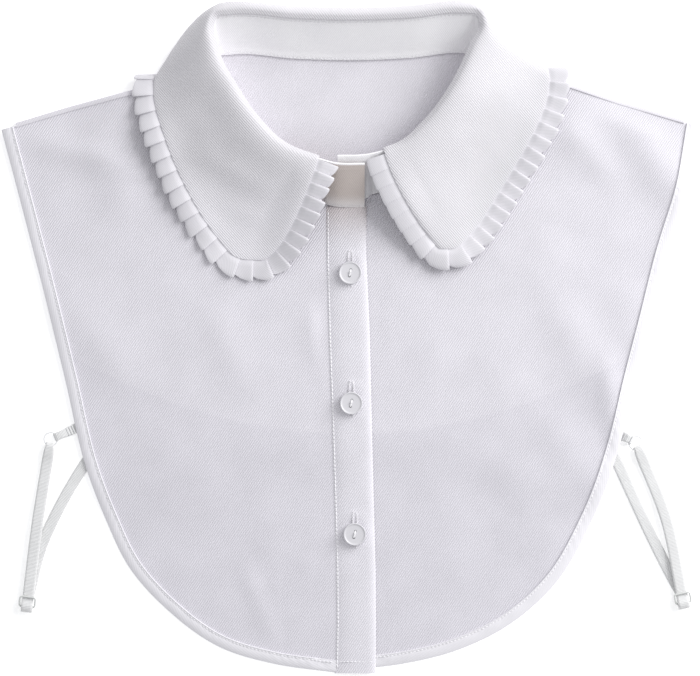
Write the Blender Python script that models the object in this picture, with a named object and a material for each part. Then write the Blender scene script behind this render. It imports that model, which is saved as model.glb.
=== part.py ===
"""Detachable shirt collar with a pleated frill, laid flat with its front up.

X runs across the garment, Y from the hem towards the neck, Z up from the table.
The origin is the middle of the garment's box, on the table. All sizes below are
in millimetres. Wearer's right is at -X, because the garment faces up.
"""
import math

import bmesh
import bpy
import numpy as np

MM = 0.001

# Cloth and clearances
CLOTH = 1.0
SEAM_GAP = 0.3
LYING_GAP = 0.6
LAYER = CLOTH + LYING_GAP
BAND_WALL = 1.4
LEAF_WALL = 1.2
FRILL_WALL = 0.9
PLACKET_WALL = 1.4

# How the garment lies: the back rises over the leaf beneath it, near the neck
COLLAR_LIFT = 3.0
LIFT_START_Y = 82.0
LIFT_RUN = 40.0
LIFT_END_X = 160.0

# Lower edge of the back panel, a parabola, and where the fronts drop to the table past it
BACK_HEM_Y = -52.0
BACK_HEM_RISE = 0.00184
DROP_Y = -60.0
DROP_SIDE = 14.0
DROP_SIDE_START = 60.0
DROP_SIDE_RUN = 40.0
DROP_RUN = 18.0

# Outer edge of each front, from the shoulder round to the bottom of the placket
RIGHT_EDGE = np.array([
    # x, y
    (-191.7, 114.7), (-178.2, 63.5), (-166.9, 19.5), (-156.5, -23.4), (-144.9, -71.8), (-135.0, -98.2),
    (-121.3, -126.2), (-99.8, -149.9), (-71.8, -169.7), (-43.7, -178.5), (-10.3, -183.4)])
LEFT_EDGE = np.array([
    # x, y
    (191.5, 117.1), (185.1, 82.2), (174.4, 46.5), (165.3, 10.7), (156.5, -23.4), (146.9, -62.4),
    (133.4, -99.3), (111.9, -135.9), (85.5, -158.7), (59.1, -171.3), (27.8, -179.0), (-3.0, -182.3)])
HEM_WIDTH = 6.6
HEM_GAP = 0.3
HEM_STATIONS = 40
# The hem is pressed flat up to this distance from the middle, near the placket
PRESS_X = 15.0
PRESS_RUN = 8.0
# Hem facing across its width: share of the width, height of its top above its underside
HEM_PROFILE = [(0.0, 1.0), (0.2, 1.7), (0.75, 1.6), (1.0, 0.9)]

# Shoulder folds, from the tip to the neck
RIGHT_SHOULDER = np.array([(-184.0, 118.5), (-153.7, 127.6), (-118.0, 136.9), (-77.6, 148.4)])
LEFT_SHOULDER = np.array([(184.0, 120.7), (147.1, 131.4), (123.5, 139.3), (74.6, 154.9)])
SHOULDER_TURN = 2.5
TURN_STEP = 0.4
NECK_TURN_SHARE = 0.6
SHOULDER_POINTS = 9
NECK_POINTS = 18
# The back's side edges lie beneath the hem facings, this share of their width from the outer edge
BACK_INSET_SHARE = 0.6
SIDE_START = 3.0
SIDE_POINTS = 13
SEAM_POINTS = 40
FRONT_ROWS = 11

# Collar band: top edge from the wearer's left end, round the back, to the right end on top
BAND_TOP = np.array([
    # x, y, lift where the upper end laps over the lower one
    (-6.8, 99.8, 0.0), (9.0, 100.4, 0.0), (18.2, 102.5, 0.0), (29.1, 106.9, 0.0),
    (39.4, 116.1, 0.0), (47.6, 125.4, 0.0), (57.4, 140.1, 0.0), (66.6, 159.6, 0.0),
    (71.6, 171.6, 0.0), (69.6, 177.0, 0.0), (62.3, 178.2, 0.0), (32.9, 175.6, 0.0),
    (1.9, 174.4, 0.0), (-29.1, 175.2, 0.0), (-65.6, 177.4, 0.0), (-73.6, 176.0, 0.0),
    (-75.9, 169.6, 0.0), (-74.2, 160.7, 0.0), (-69.9, 148.8, 0.0), (-63.4, 137.9, 0.0),
    (-51.9, 121.0, 0.0), (-36.2, 105.8, 0.0), (-18.8, 98.7, 0.3), (-8.4, 95.8, 1.4),
    (7.9, 95.4, 1.4)])
BAND_HEIGHT_FRONT = 27.0
BAND_HEIGHT_BACK = 28.0
BAND_LEAN = 21.5
BAND_SEAT = 1.0
BAND_STATIONS = 84
NECK_GAP = 1.1
NECK_LAP = 0.5

# Leaf: how far its ends are set in from the ends of the band, and its outer edge
LEAF_SET_IN = 25.5
LEAF_SEAT = 1.9
LEAF_START = 0.9
LEAF_REST = 1.3
TABLE_CLEAR = 0.1
LEAF_STATIONS = 72
LEAF_ROWS = 8
LEAF_EDGE = np.array([
    # share of the fold line, edge x, edge y, 0 in front of the shoulder and 1 behind it
    (0.000, 49.2, 49.2, 0.0), (0.025, 58.0, 49.8, 0.0), (0.055, 66.3, 57.5, 0.0),
    (0.125, 82.8, 82.2, 0.0), (0.195, 103.1, 118.5, 0.0), (0.234, 108.6, 135.5, 0.0),
    (0.248, 109.2, 142.5, 0.0), (0.262, 108.2, 148.0, 0.2), (0.274, 105.8, 149.8, 0.6),
    (0.286, 101.8, 147.6, 0.92),
    (0.300, 96.0, 143.6, 1.0), (0.320, 87.0, 139.8, 1.0), (0.370, 60.0, 137.0, 1.0),
    (0.500, -1.9, 135.5, 1.0), (0.610, -60.2, 136.0, 1.0), (0.655, -89.5, 137.0, 1.0),
    (0.672, -96.5, 140.0, 1.0), (0.684, -101.0, 143.2, 0.92), (0.696, -104.6, 145.0, 0.6),
    (0.708, -106.8, 143.2, 0.2), (0.722, -107.6, 138.5, 0.0), (0.738, -107.3, 131.5, 0.0),
    (0.780, -101.5, 110.8, 0.0), (0.855, -88.8, 80.6, 0.0), (0.925, -73.4, 56.4, 0.0),
    (0.970, -61.3, 44.3, 0.0), (1.000, -48.1, 42.9, 0.0)])
# Handles of the curve from the fold to the edge
FRONT_OUT = 0.20
FRONT_RISE = 3.5
FRONT_IN = 0.40
FRONT_IN_RISE = 1.0
BEHIND_OUT = 4.0
BEHIND_RISE = 2.5
BEHIND_BULGE = 18.5
END_OUT = {"left": (3.5, -15.0), "right": (-5.5, -14.8)}
END_IN = {"left": (-11.5, 11.5), "right": (14.3, 5.2)}
END_REACH = 0.03

# Frill
PLEATS = 74
PLEAT_PITCH = np.array([
    # share of the free edge, millimetres from pleat to pleat
    (0.00, 8.3), (0.09, 8.0), (0.12, 7.2), (0.30, 7.5), (0.36, 8.6), (0.86, 8.6), (0.88, 7.2),
    (0.93, 6.9), (1.00, 6.9)])
FRILL_WIDTH = 10.6
FRILL_GAP = 1.3
FRILL_DROOP = 1.5
FRILL_REST = 1.1
FRILL_UNDER_SHARE = 0.6
PLEAT_AT_SEAM = 0.9
PLEAT_AT_EDGE = 1.7
# One pleat along its pitch: share of the pitch, share of the height, share of the extra width
PLEAT_PROFILE = [(0.16, 0.0, 0.0), (0.84, 0.95, 0.8), (1.0, 1.0, 1.0)]
PLEAT_STEP = 1.4
# Where the frill goes beneath the back its pleats are flatter and stand off a little
ABOVE_LIMIT = 0.02
SWING_START = 0.8
TURN_GAP = 0.8
TURN_FLATTENING = 0.6
UNDER_FLATTENING = 0.2

# Placket: left and right edge down its length
PLACKET = np.array([
    # y, left x, right x
    (72.5, -13.5, 9.1), (47.6, -13.5, 8.8), (3.0, -12.4, 10.8), (-45.4, -10.6, 11.9),
    (-86.1, -9.3, 12.9), (-126.2, -8.2, 14.0), (-156.5, -8.0, 14.2), (-184.0, -8.5, 14.2)])
PLACKET_ROWS = 30
MIDDLE_POINTS = 80
PLACKET_CROWN = 0.3
# Placket across its width: millimetres from its left edge, lift over the front beneath it
PLACKET_STEP = [(0.0, 0.0), (2.2, 0.25), (4.6, 1.35), (9.0, 1.35), (16.0, 1.35)]
UNDERLAP = 5.6

# Buttons
BUTTONS = [(0.0, 36.0), (0.6, -35.5), (2.5, -107.5)]
# Button turned about its middle: radius, height
BUTTON_PROFILE = [(4.6, 0.0), (5.9, 0.7), (6.2, 1.5), (5.7, 2.3), (4.9, 2.4), (4.1, 1.7)]
BUTTON_SIDES = 20
HOLE_RADIUS = 0.75
HOLE_OFFSET = 1.5
HOLE_TILT = math.radians(12)
HOLE_SIDES = 8
HOLE_CENTRE = 1.0
HOLE_DEPTH = 6.0

# Straps: webbing, rings and sliders
WEB_WIDTH = 6.0
WEB_AT_RING = 2.6
WEB = 1.0
TAB_WIDTH = 5.4
# Tab: reach beneath the hem, straight share of its lower ply, start of the turn before the wire,
# where its upper ply comes down, and how far from the hem that ply ends
TAB_TUCK = 4.0
TAB_STRAIGHT = 0.3
TAB_TURN = 1.4
TAB_SLOPE = 0.45
TAB_END = 0.9
TAB_END_LIFT = 0.15
TAB_WIDTH_SHARES = (1.0, 0.95, 0.85, 1.0)
RING_RADIUS = 3.7
RING_WIRE = 0.5
RING_HEIGHT = 1.95
RING_CLEAR = 0.35
RING_SIDES = 24
WIRE_SIDES = 8
BEND_START = 0.15
BEND_POINTS = 7
SLIDER_WIDTH = 9.6
SLIDER_LENGTH = 6.8
SLIDER_BAR = 1.1
SLIDER_THICK = 1.2
SLIDER_NEAR = 4.7
SLIDER_FAR = 3.35
SLIDER_CORNER = 1.4
CORNER_TURNS = (0, 45, 90)
# Webbing through the slider: distance past its middle, height
SLIDER_WEAVE = [
    (-3.6, 3.1), (-2.4, 3.25), (0.0, 4.1), (2.6, 4.95), (4.3, 4.4), (5.4, 2.9),
    (5.2, 1.3), (4.0, 0.5), (2.0, 0.5)]
STRAP_POINTS = 13
TAIL_POINTS = 16
TAIL_START = 1.0
END_STEPS = 60
# The strap's turn starts this far past the ring's wire and rises to the wire over this run
RING_START = 2.0
RING_RUN = 9.0
# Up to this distance from the slider the strap rests on its own tail
CROSSING = 46.0
CROSSING_RUN = 14.0
LYING_SHARE = 0.5
STRAPS = {
    "right": {
        "hem": (-151.0, -49.4), "ring": (-164.4, -55.3), "slider": (-177.2, -144.6), "bow": (-171.6, -100.0),
        "tail": [(-169.8, -114.7), (-159.4, -92.1), (-145.8, -69.0), (-114.8, -29.4)]},
    "left": {
        "hem": (149.7, -53.4), "ring": (156.9, -57.3), "slider": (182.6, -142.6), "bow": (173.2, -98.0),
        "tail": [(167.6, -112.7), (154.8, -85.5), (146.0, -66.3), (122.6, -25.4)]},
}

FINE_STEPS = 1200


def clear_scene():
    for item in list(bpy.data.objects):
        bpy.data.objects.remove(item, do_unlink=True)


def material(name, color, roughness):
    made = bpy.data.materials.new(name)
    made.use_nodes = True
    shader = made.node_tree.nodes["Principled BSDF"]
    shader.inputs["Base Color"].default_value = (*color, 1.0)
    shader.inputs["Roughness"].default_value = roughness
    return made


def ease(t):
    """Smooth step from 0 to 1."""
    t = np.clip(t, 0.0, 1.0)
    return t * t * (3 - 2 * t)


def resample(curve, count):
    """The curve's points moved to even steps along its length."""
    steps = np.linalg.norm(np.diff(curve[:, :2], axis=0), axis=1)
    length = np.concatenate(([0.0], np.cumsum(steps)))
    at = np.linspace(0.0, length[-1], count)
    return np.stack([np.interp(at, length, column) for column in curve.T], axis=1)


def smooth_rows(rows, knots, at):
    """Cubic pieces through the rows, with slopes from the neighbouring rows."""
    slopes = np.gradient(rows, knots, axis=0)
    piece = np.clip(np.searchsorted(knots, at, side="right") - 1, 0, len(knots) - 2)
    width = (knots[piece + 1] - knots[piece])[:, None]
    t = (at - knots[piece])[:, None] / width
    return ((2 * t**3 - 3 * t**2 + 1) * rows[piece] + (t**3 - 2 * t**2 + t) * width * slopes[piece]
            + (3 * t**2 - 2 * t**3) * rows[piece + 1] + (t**3 - t**2) * width * slopes[piece + 1])


def smooth_line(points, count):
    """Smooth curve through the points, with even steps."""
    points = np.asarray(points, dtype=float)
    chords = np.linalg.norm(np.diff(points[:, :2], axis=0), axis=1)
    knots = np.concatenate(([0.0], np.cumsum(chords)))
    return resample(smooth_rows(points, knots, np.linspace(0.0, knots[-1], FINE_STEPS)), count)


def unit(vectors):
    return vectors / np.maximum(np.linalg.norm(vectors, axis=-1, keepdims=True), 1e-9)


def turned(plan, side):
    """Plan directions square to a path: side +1 turns left of the travel, -1 right."""
    along = unit(np.gradient(plan, axis=0))
    return side * np.stack([-along[:, 1], along[:, 0]], axis=1)


def moved_sideways(plan, side, distance):
    return plan + turned(plan, side) * distance


def patch(top, bottom, start, end):
    """Grid between four edges: rows run from top to bottom, columns from start to end."""
    rows, columns = len(start), len(top)
    v = np.linspace(0, 1, rows)[:, None, None]
    u = np.linspace(0, 1, columns)[None, :, None]
    across = (1 - v) * top[None] + v * bottom[None]
    down = (1 - u) * start[:, None] + u * end[:, None]
    corners = ((1 - v) * (1 - u) * top[0] + (1 - v) * u * top[-1]
               + v * (1 - u) * bottom[0] + v * u * bottom[-1])
    return across + down - corners


def wall(name, outer, inner, finish):
    """Closed solid between two grids of points that have the same rows and columns."""
    rows, columns = outer.shape[:2]
    total = rows * columns
    index = np.arange(total).reshape(rows, columns)
    cells = np.stack([index[:-1, :-1], index[1:, :-1], index[1:, 1:], index[:-1, 1:]], axis=-1)
    cells = cells.reshape(-1, 4)
    rim = np.concatenate([index[0, :-1], index[:-1, -1], index[-1, :0:-1], index[:0:-1, 0]])
    ahead = np.roll(rim, -1)
    sides = np.stack([rim, ahead, ahead + total, rim + total], axis=-1)
    faces = np.concatenate([cells, cells[:, ::-1] + total, sides[:, ::-1]])
    points = np.concatenate([outer.reshape(-1, 3), inner.reshape(-1, 3)]) * MM
    return mesh_object(name, points, faces.tolist(), finish)


def mesh_object(name, points, faces, finish):
    mesh = bpy.data.meshes.new(name)
    mesh.from_pydata([tuple(p) for p in points], [], faces)
    mesh.materials.append(finish)
    work = bmesh.new()
    work.from_mesh(mesh)
    bmesh.ops.recalc_face_normals(work, faces=work.faces)
    work.to_mesh(mesh)
    work.free()
    made = bpy.data.objects.new(name, mesh)
    bpy.context.collection.objects.link(made)
    return made


def sheet_normals(grid):
    return unit(np.cross(np.gradient(grid, axis=0), np.gradient(grid, axis=1)))


def thick_wall(name, middle, thickness, finish):
    """Closed solid of even thickness about a middle surface."""
    shift = sheet_normals(middle) * thickness / 2
    return wall(name, middle + shift, middle - shift, finish)


def raised(plan, height):
    return np.concatenate([plan, height[..., None]], axis=-1)


def flat_wall(name, plan, floor, top, finish):
    return wall(name, raised(plan, top), raised(plan, floor), finish)


def back_floor(x, y):
    """Underside of the back panel: raised near the neck, where the collar lies beneath it."""
    return (COLLAR_LIFT * ease((y - LIFT_START_Y) / LIFT_RUN)
            * ease((LIFT_END_X - np.abs(x)) / LIFT_RUN))


def front_floor(x, y):
    """Underside of the fronts: one layer above the back, and on the table past its hem."""
    drop = DROP_Y - DROP_SIDE * ease((np.abs(x) - DROP_SIDE_START) / DROP_SIDE_RUN)
    return back_floor(x, y) + LAYER * ease((y - drop + DROP_RUN) / DROP_RUN)


def front_top(x, y):
    return front_floor(x, y) + CLOTH


def band_rings():
    """Top and bottom edge of the band as middle lines: the whole ring leans to the back."""
    line = smooth_line(BAND_TOP, BAND_STATIONS)
    behind = ease((line[:, 1] - line[:, 1].min()) / np.ptp(line[:, 1]))
    height = BAND_HEIGHT_FRONT + (BAND_HEIGHT_BACK - BAND_HEIGHT_FRONT) * behind
    rise = np.sqrt(height**2 - BAND_LEAN**2)
    low = line.copy()
    low[:, 1] -= BAND_LEAN
    low[:, 2] = back_floor(low[:, 0], low[:, 1]) + CLOTH + BAND_SEAT + line[:, 2]
    high = line.copy()
    high[:, 2] = low[:, 2] + rise
    return low, high


def shoulder_height(x):
    """Y of the shoulder line carried on towards the neck."""
    right = np.interp(x, RIGHT_SHOULDER[:, 0], RIGHT_SHOULDER[:, 1])
    left = np.interp(x, LEFT_SHOULDER[::-1, 0], LEFT_SHOULDER[::-1, 1])
    return np.where(x < 0, right, left)


def neck_parts(low):
    """The band's lower ring cut at the shoulders: left front, back and right front."""
    fine = smooth_line(low, FINE_STEPS)
    past = np.where(fine[:, 1] > shoulder_height(fine[:, 0]))[0]
    return fine[:past[0] + 1], fine[past[0]:past[-1] + 1], fine[past[-1]:]


def make_band(low, high, finish):
    share = np.linspace(0, 1, 3)[:, None, None]
    middle = low[None] * (1 - share) + high[None] * share
    return thick_wall("collar_band", middle, BAND_WALL, finish)


def make_back(neck, finish):
    right = resample(RIGHT_SHOULDER, SHOULDER_POINTS)
    left = resample(LEFT_SHOULDER, SHOULDER_POINTS)[::-1]
    across = resample(neck[:, :2], NECK_POINTS)[::-1]
    across[:, 1] += NECK_LAP
    top = np.concatenate([right, across[1:-1], left])
    at_shoulder = np.ones(SHOULDER_POINTS)
    at_neck = np.full(NECK_POINTS - 2, NECK_TURN_SHARE)
    inward = np.concatenate([at_shoulder, at_neck, at_shoulder])[:, None]
    turn = moved_sideways(top, -1, SHOULDER_TURN * inward)
    foot = moved_sideways(top, -1, (SHOULDER_TURN + TURN_STEP) * inward)
    right_side = smooth_line(RIGHT_EDGE, FINE_STEPS)
    left_side = smooth_line(LEFT_EDGE, FINE_STEPS)
    right_side = moved_sideways(right_side, 1, HEM_WIDTH * BACK_INSET_SHARE)
    left_side = moved_sideways(left_side, -1, HEM_WIDTH * BACK_INSET_SHARE)
    right_side = side_to_hem(right_side, foot[0])
    left_side = side_to_hem(left_side, foot[-1])
    hem_x = np.linspace(right_side[-1, 0], left_side[-1, 0], len(top))
    hem = np.stack([hem_x, BACK_HEM_Y + BACK_HEM_RISE * hem_x**2], axis=1)
    hem[0], hem[-1] = right_side[-1], left_side[-1]
    body = patch(foot, hem, right_side, left_side)
    plan = np.concatenate([top[None], turn[None], body])
    floor = back_floor(plan[..., 0], plan[..., 1])
    height = floor + CLOTH
    is_shoulder = np.concatenate([at_shoulder[1:], np.zeros(NECK_POINTS), at_shoulder[1:]])
    height[:2] += LAYER * is_shoulder
    return flat_wall("back_panel", plan, floor, height, finish)


def side_to_hem(side, start):
    """The armhole edge from the shoulder down to where the back's hem meets it."""
    above = side[:, 1] > BACK_HEM_Y + BACK_HEM_RISE * side[:, 0]**2
    kept = side[above & (side[:, 1] < start[1] - SIDE_START)]
    return resample(np.concatenate([start[None], kept]), SIDE_POINTS)


def make_front(name, edge, shoulder, neck, middle, side, finish):
    """Front panel between the neck, its shoulder seam, the stitching of its hem and its middle edge."""
    stitched = moved_sideways(smooth_line(edge, FINE_STEPS), side, HEM_WIDTH + HEM_GAP)
    seam = moved_sideways(resample(shoulder, SEAM_POINTS), -side, SHOULDER_TURN + TURN_STEP + SEAM_GAP)
    seam = seam[::-1]
    stitched = stitched[stitched[:, 1] < seam[-1, 1]]
    start = resample(np.concatenate([seam[:-1], stitched[:1]]), FRONT_ROWS)
    outer = resample(stitched, HEM_STATIONS)
    end = resample(middle, FRONT_ROWS)
    start[-1], end[-1] = outer[0], outer[-1]
    inner = resample(neck, HEM_STATIONS)
    inner[0], inner[-1] = start[0], end[0]
    plan = patch(start, end, inner, outer)
    x, y = plan[..., 0], plan[..., 1]
    return flat_wall(name, plan, front_floor(x, y), front_top(x, y), finish)


def make_hem(name, edge, side, finish):
    line = smooth_line(edge, FINE_STEPS)
    columns = []
    for share, height in HEM_PROFILE:
        plan = resample(moved_sideways(line, side, HEM_WIDTH * (1 - share)), HEM_STATIONS)
        floor = front_floor(plan[:, 0], plan[:, 1])
        full = ease((np.abs(plan[:, 0]) - PRESS_X) / PRESS_RUN)
        pressed = min(height, CLOTH) + max(height - CLOTH, 0) * full
        columns.append((raised(plan, floor + pressed), raised(plan, floor)))
    top = np.stack([column[0] for column in columns], axis=1)
    bottom = np.stack([column[1] for column in columns], axis=1)
    return wall(name, top, bottom, finish)


def placket_edges(y):
    left = np.interp(y, PLACKET[::-1, 0], PLACKET[::-1, 1])
    right = np.interp(y, PLACKET[::-1, 0], PLACKET[::-1, 2])
    return left, right


def make_placket(finish):
    y = np.linspace(PLACKET[0, 0], PLACKET[-1, 0], PLACKET_ROWS)
    left, right = placket_edges(y)
    tops, floors = [], []
    for distance, lift in PLACKET_STEP + [(None, PLACKET_STEP[-1][1])]:
        x = right if distance is None else left + distance
        floor = front_floor(x, y) + lift
        crown = PLACKET_CROWN if distance in (0.0, None) else 0.0
        tops.append(np.stack([x, y, floor + PLACKET_WALL - crown], axis=1))
        floors.append(np.stack([x, y, floor], axis=1))
    return wall("placket", np.stack(tops, axis=1), np.stack(floors, axis=1), finish)


def leaf_surface(high):
    """Middle surface of the leaf: a curve from the fold to the outer edge at each station."""
    fine = smooth_line(high, FINE_STEPS)
    steps = np.linalg.norm(np.diff(fine[:, :2], axis=0), axis=1)
    length = np.concatenate(([0.0], np.cumsum(steps)))
    share = np.linspace(0, 1, LEAF_STATIONS)
    at = LEAF_SET_IN + share * (length[-1] - 2 * LEAF_SET_IN)
    fold = np.stack([np.interp(at, length, column) for column in fine.T], axis=1)
    outward = turned(fold[:, :2], -1)
    fold[:, :2] += outward * LEAF_START
    fold[:, 2] += LEAF_SEAT
    rows = smooth_rows(LEAF_EDGE[:, 1:], LEAF_EDGE[:, 0], share)
    behind = np.clip(rows[:, 2], 0, 1)
    above = front_top(rows[:, 0], rows[:, 1]) + LEAF_REST
    edge = raised(rows[:, :2], (1 - behind) * above + behind * (LEAF_WALL / 2 + TABLE_CLEAR))
    span = (edge - fold)[:, :2]
    mix = behind[:, None]
    out_plan = (1 - mix) * span * FRONT_OUT + mix * outward * BEHIND_OUT
    in_plan = -(1 - mix) * FRONT_IN * span + mix * (outward * BEHIND_BULGE - span)
    for at_end, name in ((share, "left"), (1 - share, "right")):
        near = (1 - ease(at_end / END_REACH))[:, None]
        out_plan = (1 - near) * out_plan + near * np.array(END_OUT[name])
        in_plan = (1 - near) * in_plan + near * np.array(END_IN[name])
    out_rise = (1 - behind) * FRONT_RISE + behind * BEHIND_RISE
    in_rise = (1 - behind) * FRONT_IN_RISE
    handle_out = fold + raised(out_plan, out_rise)
    handle_in = edge + raised(in_plan, in_rise)
    t = np.linspace(0, 1, LEAF_ROWS + 1)[None, :, None]
    surface = ((1 - t)**3 * fold[:, None] + 3 * (1 - t)**2 * t * handle_out[:, None]
               + 3 * (1 - t) * t**2 * handle_in[:, None] + t**3 * edge[:, None])
    return surface, behind


def frill_path(surface, behind):
    """The leaf's free edge: down one front edge, round the outer edge, up the other front edge."""
    path = np.concatenate([surface[0, :-1], surface[:, -1], surface[-1, -2::-1]])
    ends = np.zeros(surface.shape[1] - 1)
    hidden = np.concatenate([ends, behind, ends])
    return resample(np.column_stack([path, hidden]), FINE_STEPS)


def frill_directions(path):
    """Plan direction of the frill's width: square to the leaf's edge, above and beneath.

    Past the shoulder it keeps the direction that it has in front of it until it is beneath
    the back panel, and only then turns towards the hem.
    """
    hidden = path[:, 3]
    front = turned(path[:, :2], -1)
    beneath = turned(path[:, :2], 1)
    middle = len(path) // 2
    above = np.where(hidden < ABOVE_LIMIT)[0]
    last_left = above[above < middle][-1]
    first_right = above[above > middle][0]
    front[last_left:middle] = front[last_left]
    front[middle:first_right] = front[first_right]
    turn = ease((hidden - SWING_START) / (1 - SWING_START))[:, None]
    return unit((1 - turn) * front + turn * beneath)


def pleat_places(path, numbers):
    """Index on the path of each pleat number, with the pitch of the table scaled to fit."""
    share = np.linspace(0, 1, len(path))
    passed = np.cumsum(1 / np.interp(share, PLEAT_PITCH[:, 0], PLEAT_PITCH[:, 1]))
    passed = (passed - passed[0]) / (passed[-1] - passed[0]) * PLEATS
    return np.interp(numbers, passed, np.arange(len(path)))


def make_frill(surface, behind, finish):
    path = frill_path(surface, behind)
    directions = frill_directions(path)
    numbers, heights, extras = [0.0], [0.0], [0.0]
    for pleat in range(PLEATS):
        for at, height, extra in PLEAT_PROFILE:
            numbers.append(pleat + at)
            heights.append(height)
            extras.append(extra)
    position = pleat_places(path, numbers)
    source = np.arange(len(path), dtype=float)
    base = np.stack([np.interp(position, source, column) for column in path.T], axis=1)
    away = unit(np.stack([np.interp(position, source, column) for column in directions.T], axis=1))
    hidden = base[:, 3]
    turning = 4 * hidden * (1 - hidden)
    heights = np.array(heights)
    rows = []
    for distance, pleat in ((FRILL_GAP, PLEAT_AT_SEAM), (FRILL_WIDTH, PLEAT_AT_EDGE)):
        reach = distance + TURN_GAP * turning
        if distance > FRILL_GAP:
            reach = reach + PLEAT_STEP * np.array(extras)
        plan = base[:, :2] + away * reach[:, None]
        rest = front_top(plan[:, 0], plan[:, 1]) + FRILL_REST
        droop = FRILL_DROOP * (distance > FRILL_GAP)
        over = np.maximum(rest, base[:, 2] - droop)
        height = (1 - hidden) * over + hidden * FRILL_WALL * FRILL_UNDER_SHARE
        puff = heights * pleat * (1 - TURN_FLATTENING * turning - UNDER_FLATTENING * hidden)
        rows.append(raised(plan, height + puff))
    middle = np.stack(rows, axis=1)
    return thick_wall("frill", middle, FRILL_WALL, finish)


def make_button(number, place, finish):
    angles = np.arange(BUTTON_SIDES) * 2 * math.pi / BUTTON_SIDES
    x, y = place
    floor = float(front_floor(x, y)) + PLACKET_STEP[-1][1] + PLACKET_WALL + SEAM_GAP
    points = [(x + radius * math.cos(a), y + radius * math.sin(a), floor + height)
              for radius, height in BUTTON_PROFILE for a in angles]
    faces = []
    for ring in range(len(BUTTON_PROFILE) - 1):
        for side in range(BUTTON_SIDES):
            after = (side + 1) % BUTTON_SIDES
            low, high = ring * BUTTON_SIDES, (ring + 1) * BUTTON_SIDES
            faces.append((low + side, low + after, high + after, high + side))
    faces.append(tuple(range(BUTTON_SIDES))[::-1])
    last = (len(BUTTON_PROFILE) - 1) * BUTTON_SIDES
    faces.append(tuple(range(last, last + BUTTON_SIDES)))
    button = mesh_object(f"button_{number}", np.array(points) * MM, faces, finish)
    for sign in (-1, 1):
        reach = sign * HOLE_OFFSET
        centre = (x - reach * math.sin(HOLE_TILT), y + reach * math.cos(HOLE_TILT), floor + HOLE_CENTRE)
        bpy.ops.mesh.primitive_cylinder_add(
            vertices=HOLE_SIDES, radius=HOLE_RADIUS * MM, depth=HOLE_DEPTH * MM,
            location=tuple(c * MM for c in centre))
        cutter = bpy.context.object
        cutter.name = f"hole_cutter_{number}_{'upper' if sign > 0 else 'lower'}"
        cutter.hide_render = True
        cutter.display_type = "WIRE"
        cut = button.modifiers.new("hole", "BOOLEAN")
        cut.object = cutter
        cut.operation = "DIFFERENCE"
    return button


def ribbon(name, path, widths, finish):
    """Flat webbing along a path of points, its width level and square to the path in plan."""
    path = np.asarray(path, dtype=float)
    along = unit(np.gradient(path, axis=0))
    level = np.linalg.norm(along[:, :2], axis=1)
    across = unit(np.stack([-along[:, 1], along[:, 0]], axis=1))
    lying = np.where(level > LYING_SHARE)[0]
    for before, after in zip(lying[:-1], lying[1:]):
        if across[before] @ across[after] < 0:
            across[after] *= -1
    place = np.arange(len(path), dtype=float)
    across = unit(np.stack([np.interp(place, lying, across[lying, axis]) for axis in range(2)], axis=1))
    across = raised(across, np.zeros(len(path)))
    normal = unit(np.cross(along, across))
    half = across * np.asarray(widths)[:, None] / 2
    thick = normal * WEB / 2
    outer = np.stack([path - half + thick, path + half + thick], axis=1)
    inner = np.stack([path - half - thick, path + half - thick], axis=1)
    return wall(name, outer, inner, finish)


def make_ring(name, place, finish):
    bpy.ops.mesh.primitive_torus_add(
        major_segments=RING_SIDES, minor_segments=WIRE_SIDES,
        major_radius=RING_RADIUS * MM, minor_radius=RING_WIRE * MM,
        location=(place[0] * MM, place[1] * MM, RING_HEIGHT * MM))
    ring = bpy.context.object
    ring.name = name
    ring.data.materials.append(finish)


def ring_bend(ring, ahead):
    """Points of webbing that goes under a ring's wire, up through the ring and back over the wire."""
    wire = ring - ahead * RING_RADIUS
    half = RING_HEIGHT - WEB / 2
    turn = RING_WIRE + RING_CLEAR + WEB / 2
    return [(*(wire + ahead * turn * math.sin(a)), RING_HEIGHT - half * math.cos(a))
            for a in np.linspace(BEND_START, math.pi - BEND_START, BEND_POINTS)]


def make_tab(name, hem, ring, finish):
    """Webbing doubled round the ring: the lower ply goes beneath the hem, the upper ends at it."""
    hem, ring = np.array(hem), np.array(ring)
    ahead = unit(ring - hem)
    wire = ring - ahead * RING_RADIUS
    gap = np.linalg.norm(wire - hem)
    low, high = WEB / 2, 2 * RING_HEIGHT - WEB / 2
    resting = low + WEB + SEAM_GAP
    path = [
        (*(hem - ahead * TAB_TUCK), low),
        (*(hem + ahead * gap * TAB_STRAIGHT), low),
        (*(wire - ahead * TAB_TURN), low)]
    path += ring_bend(ring, ahead)
    path += [
        (*(wire - ahead * TAB_TURN), high),
        (*(hem + ahead * gap * TAB_SLOPE), (high + resting) / 2),
        (*(hem + ahead * TAB_END), resting + TAB_END_LIFT)]
    narrow = [WEB_AT_RING] * (BEND_POINTS + 2)
    wide = [TAB_WIDTH * share for share in TAB_WIDTH_SHARES]
    ribbon(name, path, wide[:2] + narrow + wide[2:], finish)


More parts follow.
